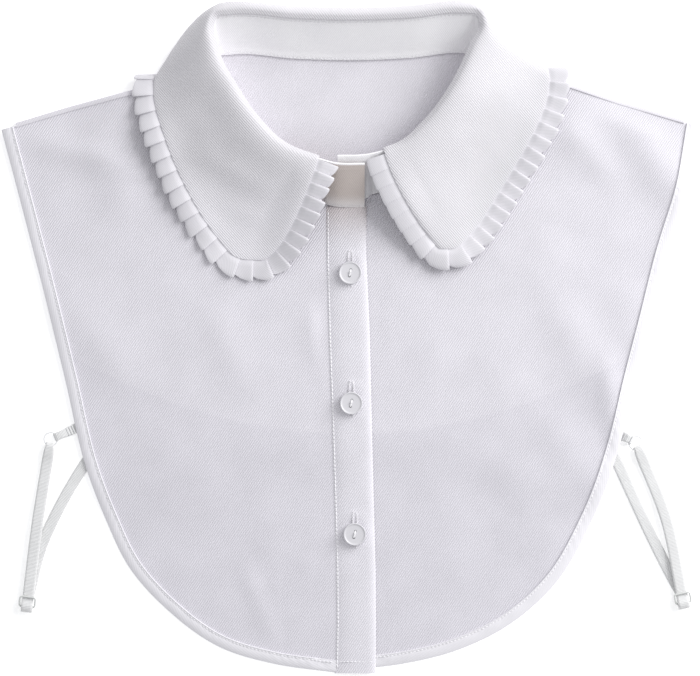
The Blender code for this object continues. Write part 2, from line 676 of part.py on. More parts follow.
def make_slider(name, slider, ahead, finish):
    """Plain wire frame with rounded corners, its near bar higher than its far bar."""
    across = np.array([-ahead[1], ahead[0]])
    half_length = (SLIDER_LENGTH - SLIDER_BAR) / 2
    half_width = (SLIDER_WIDTH - SLIDER_BAR) / 2
    corners = [(1, 1, 0), (-1, 1, 90), (-1, -1, 180), (1, -1, 270)]
    stations = []
    for along_sign, across_sign, start in corners:
        for turn in CORNER_TURNS:
            angle = math.radians(start + turn)
            u = along_sign * (half_length - SLIDER_CORNER) + SLIDER_CORNER * math.cos(angle)
            v = across_sign * (half_width - SLIDER_CORNER) + SLIDER_CORNER * math.sin(angle)
            out = (math.cos(angle), math.sin(angle))
            stations.append((u, v, out))
    points = []
    for u, v, out in stations:
        share = (u + half_length) / (2 * half_length)
        height = SLIDER_NEAR + (SLIDER_FAR - SLIDER_NEAR) * share
        for side, level in ((1, -1), (1, 1), (-1, 1), (-1, -1)):
            a, b = u + side * out[0] * SLIDER_BAR / 2, v + side * out[1] * SLIDER_BAR / 2
            plan = slider + ahead * a + across * b
            points.append((*plan, height + level * SLIDER_THICK / 2))
    count = len(stations)
    faces = []
    for station in range(count):
        here, after = 4 * station, 4 * ((station + 1) % count)
        faces += [(here + k, after + k, after + (k + 1) % 4, here + (k + 1) % 4) for k in range(4)]
    mesh_object(name, np.array(points) * MM, faces, finish)


def make_strap(name, sizes, finish):
    """One strip of webbing.

    It starts short of the slider, lies along the table to the ring, turns up through it and
    comes back on top of itself. It passes under the slider's near bar and over its far bar,
    turns down past the slider's end, and runs beneath all this to the hem of the back.
    """
    ring, slider, bow = (np.array(sizes[key]) for key in ("ring", "slider", "bow"))
    line = smooth_line([slider, bow, ring], FINE_STEPS)
    from_ring = np.linalg.norm(line - ring, axis=1)
    from_slider = np.linalg.norm(line - slider, axis=1)
    ahead_ring = unit(line[-1] - line[-END_STEPS])
    ahead_slider = unit(line[0] - line[END_STEPS])
    lower = line[(from_slider > SLIDER_LENGTH) & (from_ring > RING_RADIUS + RING_START)]
    lower = resample(lower, STRAP_POINTS)
    step = WEB + SEAM_GAP

    def lifted(plan):
        distance = np.linalg.norm(plan - slider, axis=1)
        return WEB / 2 + step * (1 - ease((distance - CROSSING) / CROSSING_RUN))

    floor = lifted(lower)
    upper = lower[::-1]
    past_wire = np.linalg.norm(upper - ring, axis=1) - RING_RADIUS - RING_START
    near_ring = 1 - ease(past_wire / RING_RUN)
    top = floor[::-1] + step
    top = top + near_ring * (2 * RING_HEIGHT - WEB / 2 - top)
    path = [(*plan, height) for plan, height in zip(lower, floor)]
    path += ring_bend(ring, ahead_ring)
    path += [(*plan, height) for plan, height in zip(upper, top)]
    path += [(*(slider + ahead_slider * along), height) for along, height in SLIDER_WEAVE]
    tail_points = [slider - ahead_slider * TAIL_START] + [np.array(p) for p in sizes["tail"]]
    tail = smooth_line(tail_points, TAIL_POINTS)
    path += [(*plan, WEB / 2) for plan in tail]
    widths = np.full(len(path), WEB_WIDTH)
    bend = slice(STRAP_POINTS, STRAP_POINTS + BEND_POINTS)
    widths[bend] = WEB_AT_RING
    widths[[STRAP_POINTS - 1, STRAP_POINTS + BEND_POINTS]] = (WEB_WIDTH + WEB_AT_RING) / 2
    ribbon(name, path, widths, finish)
    return slider, ahead_slider


def settle():
    """Moves every piece by the same amount, so that the middle of the whole box is the origin."""
    pieces = [item for item in bpy.data.objects if item.type == "MESH"]
    shown = [item for item in pieces if not item.hide_render]
    points = np.array([item.matrix_world @ vertex.co for item in shown for vertex in item.data.vertices])
    middle = (points.min(axis=0) + points.max(axis=0)) / 2
    for item in pieces:
        item.location.x -= middle[0]
        item.location.y -= middle[1]


def build():
    clear_scene()
    cloth = material("cotton_twill", (0.80, 0.79, 0.82), 0.85)
    crisp = material("collar_cotton", (0.84, 0.83, 0.86), 0.80)
    pleated = material("frill_cotton", (0.82, 0.81, 0.84), 0.82)
    facing = material("hem_cotton", (0.80, 0.79, 0.82), 0.85)
    shell = material("button_resin", (0.86, 0.86, 0.88), 0.25)
    webbing = material("strap_elastic", (0.78, 0.78, 0.78), 0.75)
    nylon = material("nylon", (0.88, 0.88, 0.88), 0.30)

    low, high = band_rings()
    left_neck, back_neck, right_neck = neck_parts(low)
    make_back(back_neck, cloth)

    y = np.linspace(PLACKET[0, 0], PLACKET[-1, 0], MIDDLE_POINTS)
    left_edge = placket_edges(y)[0]
    right_middle = np.stack([left_edge - SEAM_GAP, y], axis=1)
    left_middle = np.stack([left_edge + UNDERLAP, y], axis=1)
    right_curve = moved_sideways(right_neck[:, :2], -1, NECK_GAP)
    left_curve = moved_sideways(left_neck[::-1, :2], 1, NECK_GAP)
    right_curve = right_curve[right_curve[:, 0] < right_middle[0, 0]]
    left_curve = left_curve[left_curve[:, 0] > left_middle[0, 0]]
    make_front("front_right", RIGHT_EDGE, RIGHT_SHOULDER, right_curve, right_middle, 1, cloth)
    make_front("front_left", LEFT_EDGE, LEFT_SHOULDER, left_curve, left_middle, -1, cloth)
    make_hem("hem_right", RIGHT_EDGE, 1, facing)
    make_hem("hem_left", LEFT_EDGE, -1, facing)
    make_placket(cloth)
    make_band(low, high, crisp)
    surface, behind = leaf_surface(high)
    thick_wall("collar_leaf", surface, LEAF_WALL, crisp)
    make_frill(surface, behind, pleated)
    for number, place in enumerate(BUTTONS, start=1):
        make_button(number, place, shell)
    for side, sizes in STRAPS.items():
        make_ring(f"ring_{side}", sizes["ring"], nylon)
        make_tab(f"tab_{side}", sizes["hem"], sizes["ring"], webbing)
        slider, ahead = make_strap(f"strap_{side}", sizes, webbing)
        make_slider(f"slider_{side}", slider, ahead, nylon)
    settle()


build()
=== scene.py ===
"""Looks of the detachable shirt collar with a pleated frill, laid flat on a white table."""

import math

import bmesh
import bpy
import numpy as np
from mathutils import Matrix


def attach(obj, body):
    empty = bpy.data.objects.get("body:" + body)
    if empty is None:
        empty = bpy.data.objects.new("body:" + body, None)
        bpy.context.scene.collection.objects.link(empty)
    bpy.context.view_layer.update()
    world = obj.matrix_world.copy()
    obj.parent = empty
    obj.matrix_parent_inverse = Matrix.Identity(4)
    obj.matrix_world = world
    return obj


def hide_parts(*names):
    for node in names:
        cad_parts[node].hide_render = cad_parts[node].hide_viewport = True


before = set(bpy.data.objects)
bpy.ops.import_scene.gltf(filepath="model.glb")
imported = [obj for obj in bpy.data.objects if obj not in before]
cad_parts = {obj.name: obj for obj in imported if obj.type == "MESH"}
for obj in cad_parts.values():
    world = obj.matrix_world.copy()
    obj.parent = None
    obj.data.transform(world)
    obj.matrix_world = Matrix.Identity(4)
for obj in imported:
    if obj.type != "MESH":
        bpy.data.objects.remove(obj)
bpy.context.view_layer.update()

# Back panel
# One layer of white cotton twill. Its cloth turns over the shoulders to a seam a few
# millimetres in front, and near the neck it lies over the collar that is folded beneath it.
MM = 0.001
SETTLE = np.array([0.1, -0.27, 0.0])
FINE = 1600
CLOTH = 1.0
LYING_GAP = 0.6
LAYER = CLOTH + LYING_GAP
COLLAR_LIFT, LIFT_START_Y, LIFT_RUN, LIFT_END_X = 3.0, 82.0, 40.0, 160.0
BACK_HEM_Y, BACK_HEM_RISE = -52.0, 0.00184
DROP_Y, DROP_SIDE, DROP_SIDE_START, DROP_SIDE_RUN, DROP_RUN = -54.0, 20.0, 60.0, 40.0, 30.0
HEM_WIDTH = 6.6
RIGHT_EDGE = np.array([
    (-191.7, 114.7), (-178.2, 63.5), (-166.9, 19.5), (-156.5, -23.4), (-144.9, -71.8), (-135.0, -98.2),
    (-121.3, -126.2), (-99.8, -149.9), (-71.8, -169.7), (-43.7, -178.5), (-10.3, -183.4)])
LEFT_EDGE = np.array([
    (191.5, 117.1), (185.1, 82.2), (174.4, 46.5), (165.3, 10.7), (156.5, -23.4), (146.9, -62.4),
    (133.4, -99.3), (111.9, -135.9), (85.5, -158.7), (59.1, -171.3), (27.8, -179.0), (-3.0, -182.3)])
RIGHT_SHOULDER = np.array([(-184.0, 118.5), (-153.7, 127.6), (-118.0, 136.9), (-77.6, 148.4)])
LEFT_SHOULDER = np.array([(184.0, 120.7), (147.1, 131.4), (123.5, 139.3), (74.6, 154.9)])
SHOULDER_TURN = 2.6
BAND_TOP = np.array([
    (-6.8, 99.8), (9.0, 100.4), (18.2, 102.5), (29.1, 106.9), (39.4, 116.1), (47.6, 125.4),
    (57.4, 140.1), (66.6, 159.6), (71.6, 171.6), (69.6, 177.0), (62.3, 178.2), (32.9, 175.6),
    (1.9, 174.4), (-29.1, 175.2), (-65.6, 177.4), (-73.6, 176.0), (-75.9, 169.6), (-74.2, 160.7),
    (-69.9, 148.8), (-63.4, 137.9), (-51.9, 121.0), (-36.2, 105.8), (-18.8, 98.7), (-8.4, 95.8),
    (7.9, 95.4)])
# The last points are the outer end of the lap, which lies a layer higher
LAP_LIFTS = [0.3, 1.4, 1.4]
BAND_HEIGHT_FRONT, BAND_HEIGHT_BACK, BAND_LEAN, BAND_SEAT = 27.0, 28.0, 21.5, 1.0


def ease(t):
    """Smooth step from 0 to 1."""
    t = np.clip(t, 0.0, 1.0)
    return t * t * (3 - 2 * t)


def unit(vectors):
    """Vectors brought to length 1."""
    return vectors / np.maximum(np.linalg.norm(vectors, axis=-1, keepdims=True), 1e-9)


def travelled(points):
    """Distance along a path to each of its points."""
    return np.concatenate(([0.0], np.cumsum(np.linalg.norm(np.diff(points, axis=0), axis=1))))


def read_at(at, knots, rows):
    """Rows of a table read at places between its knots."""
    return np.stack([np.interp(at, knots, column) for column in rows.T], axis=1)


def resample(curve, count):
    """The curve's points moved to even steps along its length in plan."""
    length = travelled(curve[:, :2])
    return read_at(np.linspace(0.0, length[-1], count), length, curve)


def smooth_rows(rows, knots, at):
    """Cubic pieces through the rows, with slopes from the neighbouring rows."""
    slopes = np.gradient(rows, knots, axis=0)
    piece = np.clip(np.searchsorted(knots, at, side="right") - 1, 0, len(knots) - 2)
    width = (knots[piece + 1] - knots[piece])[:, None]
    t = (at - knots[piece])[:, None] / width
    return ((2 * t**3 - 3 * t**2 + 1) * rows[piece] + (t**3 - 2 * t**2 + t) * width * slopes[piece]
            + (3 * t**2 - 2 * t**3) * rows[piece + 1] + (t**3 - t**2) * width * slopes[piece + 1])


def smooth_line(points, count):
    """Smooth curve through the points, with even steps."""
    points = np.asarray(points, dtype=float)
    knots = travelled(points[:, :2])
    return resample(smooth_rows(points, knots, np.linspace(0.0, knots[-1], FINE)), count)


def sideways(plan, side):
    """Plan directions square to a path: side +1 turns left of the travel, -1 right."""
    along = unit(np.gradient(plan, axis=0))
    return side * np.stack([-along[:, 1], along[:, 0]], axis=1)


def patch(top, bottom, start, end):
    """Grid between four edges: rows run from top to bottom, columns from start to end."""
    v = np.linspace(0, 1, len(start))[:, None, None]
    u = np.linspace(0, 1, len(top))[None, :, None]
    corners = ((1 - v) * (1 - u) * top[0] + (1 - v) * u * top[-1]
               + v * (1 - u) * bottom[0] + v * u * bottom[-1])
    return (1 - v) * top[None] + v * bottom[None] + (1 - u) * start[:, None] + u * end[:, None] - corners


def lifted(plan, height):
    """Plan points given a height."""
    return np.concatenate([plan, np.broadcast_to(height, plan.shape[:-1])[..., None]], axis=-1)


def back_floor(x, y):
    """Underside of the back panel: raised near the neck, where the collar lies beneath it."""
    return (COLLAR_LIFT * ease((y - LIFT_START_Y) / LIFT_RUN)
            * ease((LIFT_END_X - np.abs(x)) / LIFT_RUN))


def front_floor(x, y):
    """Underside of the fronts: one layer above the back, and on the table past its hem."""
    drop = DROP_Y - DROP_SIDE * ease((np.abs(x) - DROP_SIDE_START) / DROP_SIDE_RUN)
    return back_floor(x, y) + LAYER * ease((y - drop + DROP_RUN) / DROP_RUN)


def soft_folds(x, y, folds):
    """Sum of soft troughs and ridges: each is a bell curve across a line and fades at its ends."""
    total = np.zeros_like(x)
    for x0, y0, x1, y1, width, depth in folds:
        length = math.hypot(x1 - x0, y1 - y0)
        ux, uy = (x1 - x0) / length, (y1 - y0) / length
        along = ((x - x0) * ux + (y - y0) * uy) / length
        across = (x - x0) * uy - (y - y0) * ux
        total += depth * np.exp(-(across / width)**2) * ease(along / 0.4) * ease((1 - along) / 0.4)
    return total


def strip_map(along, across):
    """Map of a strip: distances along it in rows and across it in columns."""
    return np.stack(np.broadcast_arrays(along[:, None], across[None]), axis=-1)


def placed(name, data):
    """New object linked to the scene."""
    made = bpy.data.objects.new(name, data)
    bpy.context.collection.objects.link(made)
    return made


def new_object(name, points, faces, finish, uv=None, sharp=35):
    """Mesh from arrays in millimetres, its faces out and smooth, riding on the frame's body."""
    mesh = bpy.data.meshes.new(name)
    mesh.from_pydata(((np.asarray(points) + SETTLE) * MM).tolist(), [], [list(map(int, f)) for f in faces])
    work = bmesh.new()
    work.from_mesh(mesh)
    bmesh.ops.recalc_face_normals(work, faces=work.faces)
    work.to_mesh(mesh)
    work.free()
    mesh.polygons.foreach_set("use_smooth", np.ones(len(mesh.polygons), bool))
    mesh.set_sharp_from_angle(angle=math.radians(sharp))
    if uv is not None:
        layer = mesh.uv_layers.new(name="cloth")
        corner = np.zeros(len(mesh.loops), np.int32)
        mesh.loops.foreach_get("vertex_index", corner)
        layer.data.foreach_set("uv", (np.reshape(uv, (-1, 2)) * MM)[corner].ravel())
    mesh.materials.append(finish)
    made = placed(name, mesh)
    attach(made, "root")
    return made


def shell(name, outer, inner, uv, finish):
    """Closed thin wall between two grids of points."""
    rows, columns = outer.shape[:2]
    total = rows * columns
    index = np.arange(total).reshape(rows, columns)
    cells = np.stack([index[:-1, :-1], index[1:, :-1], index[1:, 1:], index[:-1, 1:]], axis=-1).reshape(-1, 4)
    rim = np.concatenate([index[0, :-1], index[:-1, -1], index[-1, :0:-1], index[:0:-1, 0]])
    ahead = np.roll(rim, -1)
    sides = np.stack([rim, ahead, ahead + total, rim + total], axis=-1)
    faces = np.concatenate([cells, cells[:, ::-1] + total, sides[:, ::-1]])
    points = np.concatenate([outer.reshape(-1, 3), inner.reshape(-1, 3)])
    return new_object(name, points, faces, finish, [uv, uv])


def wall(name, middle, half, uv, finish):
    """Shell that reaches half its thickness to both sides of a middle surface."""
    normal = unit(np.cross(np.gradient(middle, axis=0), np.gradient(middle, axis=1)))
    return shell(name, middle + normal * half, middle - normal * half, uv, finish)


def tube_faces(count, ring, joined=False):
    """Faces of a tube of so many rings of points: capped, or with its ends joined into a loop."""
    index = np.arange(count * ring).reshape(count, ring)
    after = np.roll(index, -1, axis=1)
    faces = np.stack([index[:-1], after[:-1], after[1:], index[1:]], axis=-1).reshape(-1, 4).tolist()
    if joined:
        return faces + np.stack([index[-1], after[-1], after[0], index[0]], axis=-1).tolist()
    return faces + [index[0, ::-1].tolist(), index[-1].tolist()]


def loft(name, sections, finish, uv=None, joined=False, sharp=50):
    """Tube through cross-sections that all have the same number of points."""
    faces = tube_faces(*sections.shape[:2], joined)
    return new_object(name, sections.reshape(-1, 3), faces, finish, uv, sharp)


def vector_group(name, labels, output):
    """Empty shader node group with vector inputs and one float output."""
    group = bpy.data.node_groups.new(name, "ShaderNodeTree")
    for label in labels:
        group.interface.new_socket(label, in_out="INPUT", socket_type="NodeSocketVector")
    group.interface.new_socket(output, in_out="OUTPUT", socket_type="NodeSocketFloat")
    return group, group.nodes.new("NodeGroupInput"), group.nodes.new("NodeGroupOutput")


def worked(tree, operation, *inputs):
    """Output of a math node whose inputs are other outputs or plain floats."""
    node = tree.nodes.new("ShaderNodeMath")
    node.operation = operation
    for socket, value in zip(node.inputs, inputs):
        if isinstance(value, float):
            socket.default_value = value
        else:
            tree.links.new(value, socket)
    return node.outputs[0]


def stepped(tree, value, none, full):
    """Smooth step of a value, 0 at none and 1 at full."""
    step = tree.nodes.new("ShaderNodeMapRange")
    step.interpolation_type = "SMOOTHSTEP"
    step.inputs["From Min"].default_value = none
    step.inputs["From Max"].default_value = full
    tree.links.new(value, step.inputs["Value"])
    return step.outputs["Result"]


def noise(tree, place, scale, detail):
    """Noise over a cloth's map."""
    node = tree.nodes.new("ShaderNodeTexNoise")
    node.inputs["Scale"].default_value = scale
    node.inputs["Detail"].default_value = detail
    tree.links.new(place, node.inputs["Vector"])
    return node.outputs["Fac"]


# Twill: height of slanting ridges crossed by finer threads, both broken up by noise
THREAD_HEIGHT = 0.35
twill, twill_in, twill_out = vector_group("twill_height", ["Place", "Ridge", "Thread"], "Height")
wobble = noise(twill, twill_in.outputs["Place"], 700, 2)
waves = []
for label, noise_share in (("Ridge", 3.0), ("Thread", 4.0)):
    dot = twill.nodes.new("ShaderNodeVectorMath")
    dot.operation = "DOT_PRODUCT"
    twill.links.new(twill_in.outputs["Place"], dot.inputs[0])
    twill.links.new(twill_in.outputs[label], dot.inputs[1])
    phase = worked(twill, "MULTIPLY_ADD", wobble, noise_share, dot.outputs["Value"])
    waves.append(worked(twill, "SINE", phase))
twill.links.new(worked(twill, "MULTIPLY_ADD", waves[1], THREAD_HEIGHT, waves[0]), twill_out.inputs["Height"])


# Painted shade of a single layer: 0 where the back panel lies beneath a front and 1 past the curve of its
# hem, where the fronts' cotton is tinted darker
HEM_BLUR = (-0.001, 0.002)
single_layer_shade, under_in, under_out = vector_group("single_layer_shade", ["Place"], "Mask")
split = single_layer_shade.nodes.new("ShaderNodeSeparateXYZ")
single_layer_shade.links.new(under_in.outputs["Place"], split.inputs[0])
square = worked(single_layer_shade, "POWER", split.outputs["X"], 2.0)
hem_curve = worked(single_layer_shade, "MULTIPLY_ADD", square, BACK_HEM_RISE / MM, BACK_HEM_Y * MM)
below = worked(single_layer_shade, "SUBTRACT", hem_curve, split.outputs["Y"])
single_layer_shade.links.new(stepped(single_layer_shade, below, *HEM_BLUR), under_out.inputs["Mask"])


def plan_mask(name, steps):
    """Shader group from 0 to 1: the product of smooth steps along X or Y of the cloth's map.

    Each step is an axis, where it is 0 and where it is 1, in metres.
    """
    group, group_in, group_out = vector_group(name, ["Place"], "Mask")
    split = group.nodes.new("ShaderNodeSeparateXYZ")
    group.links.new(group_in.outputs["Place"], split.inputs[0])
    results = [stepped(group, split.outputs[axis], none, full) for axis, none, full in steps]
    total = results[0]
    for result in results[1:]:
        total = worked(group, "MULTIPLY", total, result)
    group.links.new(total, group_out.inputs["Mask"])
    return group


def plain(name, color, rough, more=()):
    """Smooth material of one colour, with more inputs of its shader by name."""
    made = bpy.data.materials.new(name)
    made.use_nodes = True
    shader = made.node_tree.nodes["Principled BSDF"]
    shader.inputs["Base Color"].default_value = (*color, 1)
    shader.inputs["Roughness"].default_value = rough
    for label, value in more:
        shader.inputs[label].default_value = value
    return made


WEAVE_TONE = 0.35
THREADS_TO_RIDGES = 1.9


def cotton(name, color, slant, pitch=1.15, depth=0.15, rough=0.85, mottle=0.06, masks=()):
    """White cotton: slanting twill ridges at an angle in degrees, faint mottling and a soft nap.

    Each of masks is a node group that reads the cloth's map, and the tint where it is 1.
    """
    made = plain(name, color, rough, [
        ("Specular IOR Level", 0.25), ("Sheen Weight", 0.12), ("Sheen Roughness", 0.5)])
    tree = made.node_tree
    shader = tree.nodes["Principled BSDF"]
    place = tree.nodes.new("ShaderNodeUVMap")
    place.uv_map = "cloth"
    weave = tree.nodes.new("ShaderNodeGroup")
    weave.node_tree = twill
    angle = math.radians(slant)
    ridges = 2 * math.pi / (pitch * MM)
    threads = ridges * THREADS_TO_RIDGES
    weave.inputs["Ridge"].default_value = (-math.sin(angle) * ridges, math.cos(angle) * ridges, 0)
    weave.inputs["Thread"].default_value = (math.cos(angle) * threads, math.sin(angle) * threads, 0)
    tree.links.new(place.outputs["UV"], weave.inputs["Place"])
    bump = tree.nodes.new("ShaderNodeBump")
    bump.inputs["Strength"].default_value = 0.8
    bump.inputs["Distance"].default_value = depth * MM
    tree.links.new(weave.outputs["Height"], bump.inputs["Height"])
    tree.links.new(bump.outputs["Normal"], shader.inputs["Normal"])
    cloud = noise(tree, place.outputs["UV"], 55, 5)
    tone = worked(tree, "MULTIPLY_ADD", weave.outputs["Height"], WEAVE_TONE, cloud)
    ramp = tree.nodes.new("ShaderNodeValToRGB")
    ramp.color_ramp.elements[0].position = 0.1
    ramp.color_ramp.elements[1].position = 0.9
    ramp.color_ramp.elements[0].color = (*[c * (1 - mottle) for c in color], 1)
    ramp.color_ramp.elements[1].color = (*[min(1.0, c * (1 + mottle)) for c in color], 1)
    tree.links.new(tone, ramp.inputs["Fac"])
    color_out = ramp.outputs["Color"]
    for mask_group, tint in masks:
        mask = tree.nodes.new("ShaderNodeGroup")
        mask.node_tree = mask_group
        tree.links.new(place.outputs["UV"], mask.inputs["Place"])
        mix = tree.nodes.new("ShaderNodeMix")
        mix.data_type = "RGBA"
        mix.blend_type = "MULTIPLY"
        mix.inputs["B"].default_value = (*tint, 1)
        tree.links.new(mask.outputs["Mask"], mix.inputs["Factor"])
        tree.links.new(color_out, mix.inputs["A"])
        color_out = mix.outputs["Result"]
    tree.links.new(color_out, shader.inputs["Base Color"])
    return made


def band_rings(count):
    """Top and bottom edge of the band as middle lines: the whole ring leans to the back."""
    lift = [0.0] * (len(BAND_TOP) - len(LAP_LIFTS)) + LAP_LIFTS
    line = smooth_line(np.column_stack([BAND_TOP, lift]), count)
    behind = ease((line[:, 1] - line[:, 1].min()) / np.ptp(line[:, 1]))
    height = BAND_HEIGHT_FRONT + (BAND_HEIGHT_BACK - BAND_HEIGHT_FRONT) * behind
    rise = np.sqrt(height**2 - BAND_LEAN**2)
    low = line.copy()
    low[:, 1] -= BAND_LEAN
    low[:, 2] = back_floor(low[:, 0], low[:, 1]) + CLOTH + BAND_SEAT + line[:, 2]
    high = line.copy()
    high[:, 2] = low[:, 2] + rise
    return low, high


def shoulder_height(x):
    """Y of the shoulder line carried on towards the neck."""
    right = np.interp(x, RIGHT_SHOULDER[:, 0], RIGHT_SHOULDER[:, 1])
    left = np.interp(x, LEFT_SHOULDER[::-1, 0], LEFT_SHOULDER[::-1, 1])
    return np.where(x < 0, right, left)


def side_to_hem(side, start):
    """The armhole edge from the shoulder down to where the back's hem meets it."""
    above = side[:, 1] > BACK_HEM_Y + BACK_HEM_RISE * side[:, 0]**2
    kept = side[above & (side[:, 1] < start[1] - 1.0)]
    return resample(np.concatenate([start[None], kept]), 90)


back_twill = cotton("back_twill", (0.71, 0.69, 0.735), 56, depth=0.06)
band_low, band_high = band_rings(FINE)
past = np.where(band_low[:, 1] > shoulder_height(band_low[:, 0]))[0]
left_neck, back_neck, right_neck = band_low[:past[0] + 1], band_low[past[0]:past[-1] + 1], band_low[past[-1]:]
NECK_POINTS, SHOULDER_POINTS = 90, 50
NECK_SEAM = 0.5
TURN = [
    # distance from the shoulder line, height in layers: the cloth that turns over to the front
    (0.0, 0.35), (0.25, 0.9), (0.9, 1.2), (1.9, 1.35), (2.5, 1.35), (2.75, 1.2), (2.85, 0.0)]
across = resample(back_neck[:, :2], NECK_POINTS)[::-1]
across[:, 1] += NECK_SEAM
top = np.concatenate([resample(RIGHT_SHOULDER, SHOULDER_POINTS), across[1:-1],
                      resample(LEFT_SHOULDER, SHOULDER_POINTS)[::-1]])
turned = np.ones(SHOULDER_POINTS - 1)
shoulder = np.concatenate([turned, np.zeros(NECK_POINTS), turned])
inward = sideways(top, -1)
turn_rows, turn_height = [], []
for inset, ridge in TURN:
    turn_rows.append(top + inward * inset * (0.6 + 0.4 * shoulder)[:, None])
    turn_height.append(ridge * shoulder)
foot = turn_rows[-1]
right_line = smooth_line(RIGHT_EDGE, FINE)
left_line = smooth_line(LEFT_EDGE, FINE)
right_side = side_to_hem(right_line + sideways(right_line, 1) * HEM_WIDTH * 0.6, foot[0])
left_side = side_to_hem(left_line + sideways(left_line, -1) * HEM_WIDTH * 0.6, foot[-1])
hem_x = np.linspace(right_side[-1, 0], left_side[-1, 0], len(top))
back_hem = np.stack([hem_x, BACK_HEM_Y + BACK_HEM_RISE * hem_x**2], axis=1)
back_hem[0], back_hem[-1] = right_side[-1], left_side[-1]
plan = np.concatenate([np.array(turn_rows[:-1]), patch(foot, back_hem, right_side, left_side)])
x, y = plan[..., 0], plan[..., 1]
BACK_FOLDS = [
    # x0, y0, x1, y1, width, depth
    (-70, 140, -35, 60, 9, -0.35), (60, 150, 25, 70, 8, -0.30), (0, 150, -10, 90, 12, 0.25),
    (-120, 100, -60, -20, 14, 0.30), (130, 90, 70, -30, 13, 0.28), (35, 40, 60, -40, 9, -0.22)]
floor = back_floor(x, y)
ripple = 0.5 * np.clip(soft_folds(x, y, BACK_FOLDS), -0.3, 0.3) * ease((150.0 - y) / 12.0)
height = floor + CLOTH + ripple
height[:len(turn_height)] += LAYER * np.array(turn_height)
back_cloth = shell("back_cloth", lifted(plan, height), lifted(plan, floor + np.maximum(ripple, 0)),
                   plan, back_twill)
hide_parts("back_panel")

# Fronts
# Two panels of the same twill, joined to the back at the shoulder seams. They lie one layer
# above the back and sink to the table below its hem, where the single layer gets a painted shade, a little
# darker.
front_twill = cotton("front_twill", (0.765, 0.744, 0.795), 56, masks=[(single_layer_shade, (0.96, 0.96, 0.965))])
FRONT_FOLDS = [
    # x0, y0, x1, y1, width, height: ridges on the wearer's right, then on the wearer's left
    (-152, 122, -110, 62, 15, 1.9), (-170, 38, -106, -38, 15, 1.6), (-82, 30, -52, -38, 11, 1.1),
    (-24, 26, -10, -22, 9, 1.0), (-118, -40, -60, -95, 18, 0.9), (-60, -70, -25, -150, 14, 0.7),
    (-112, -96, -70, -140, 12, -0.5), (-195, 113, -100, 90, 8, 1.3), (-40, -112, -12, -182, 6, -0.9),
    (-64, -112, -38, -176, 6, 0.7),
    (132, 147, 204, 51, 13, 2.6), (108, 128, 152, 78, 9, 1.1), (104, 36, 152, -56, 13, 1.5),
    (92, -28, 156, -104, 12, 1.4),
    (139, 4, 147, -66, 7, 1.5), (14, -132, 26, -184, 4, -0.8),
    (158, -46, 143, -88, 8, 1.5), (150, 40, 160, -20, 10, 0.8), (70, 20, 92, -50, 14, 0.8),
    (28, 20, 60, -30, 14, 0.6), (125, -60, 88, -125, 16, 0.9), (40, -60, 66, -150, 16, 0.7),
    (118, 60, 96, 20, 10, 0.7)]


def draped(x, y):
    """Underside of the fronts with their soft folds, calm beside the placket and the shoulder seams."""
    calm = ease((np.abs(x) - 14.0) / 9.0)
    waves = 0.15 * np.sin(x / 17.0 + y / 23.0) + 0.08 * np.sin(x / 7.3 - y / 11.0)
    seamed = 0.25 + 0.75 * ease((shoulder_height(x) - y) / 16.0)
    folds = np.maximum(soft_folds(x, y, FRONT_FOLDS) + waves, -0.45)
    return np.maximum(front_floor(x, y) + folds * calm * seamed, 0.0)


PLACKET = np.array([
    (72.5, -13.5, 9.1), (47.6, -13.5, 8.8), (3.0, -12.4, 10.8), (-45.4, -10.6, 11.9),
    (-86.1, -9.3, 12.9), (-126.2, -8.2, 14.0), (-156.5, -8.0, 14.2), (-184.0, -8.5, 14.2)])
UNDERLAP, OVERLAP = 5.6, 1.2
FRONT_TOP, FRONT_WALL = 0.8, 0.7
LEAST_HEIGHT = 0.02


def placket_edges(y):
    left = np.interp(y, PLACKET[::-1, 0], PLACKET[::-1, 1])
    right = np.interp(y, PLACKET[::-1, 0], PLACKET[::-1, 2])
    return left, right


placket_y = np.linspace(72.5, -184.0, 400)
placket_left = placket_edges(placket_y)[0]
for side, edge, shoulder_line, neck, middle_x, turn in (
        ("right", RIGHT_EDGE, RIGHT_SHOULDER, right_neck, placket_left + OVERLAP, 1),
        ("left", LEFT_EDGE, LEFT_SHOULDER, left_neck[::-1], placket_left + UNDERLAP, -1)):
    line = smooth_line(edge, FINE)
    stitched = line + sideways(line, turn) * (HEM_WIDTH - 0.8)
    seam = resample(shoulder_line, 120)
    seam = (seam + sideways(seam, -turn) * (SHOULDER_TURN - 0.3))[::-1]
    stitched = stitched[stitched[:, 1] < seam[-1, 1]]
    start = resample(np.concatenate([seam[:-1], stitched[:1]]), 100)
    end = resample(np.stack([middle_x, placket_y], axis=1), 100)
    outer_edge = resample(stitched, 240)
    start[-1], end[-1] = outer_edge[0], outer_edge[-1]
    curve = neck[:, :2] + sideways(neck[:, :2], -turn) * 0.6
    curve = curve[curve[:, 0] < end[0, 0]] if side == "right" else curve[curve[:, 0] > end[0, 0]]
    inner_edge = resample(curve, 240)
    inner_edge[0], inner_edge[-1] = start[0], end[0]
    plan = patch(start, end, inner_edge, outer_edge)
    x, y = plan[..., 0], plan[..., 1]
    up = draped(x, y) + FRONT_TOP
    down = np.maximum(up - FRONT_WALL, LEAST_HEIGHT)
    front = shell(f"front_{side}_cloth", lifted(plan, up), lifted(plan, down), plan, front_twill)
    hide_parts(f"front_{side}")

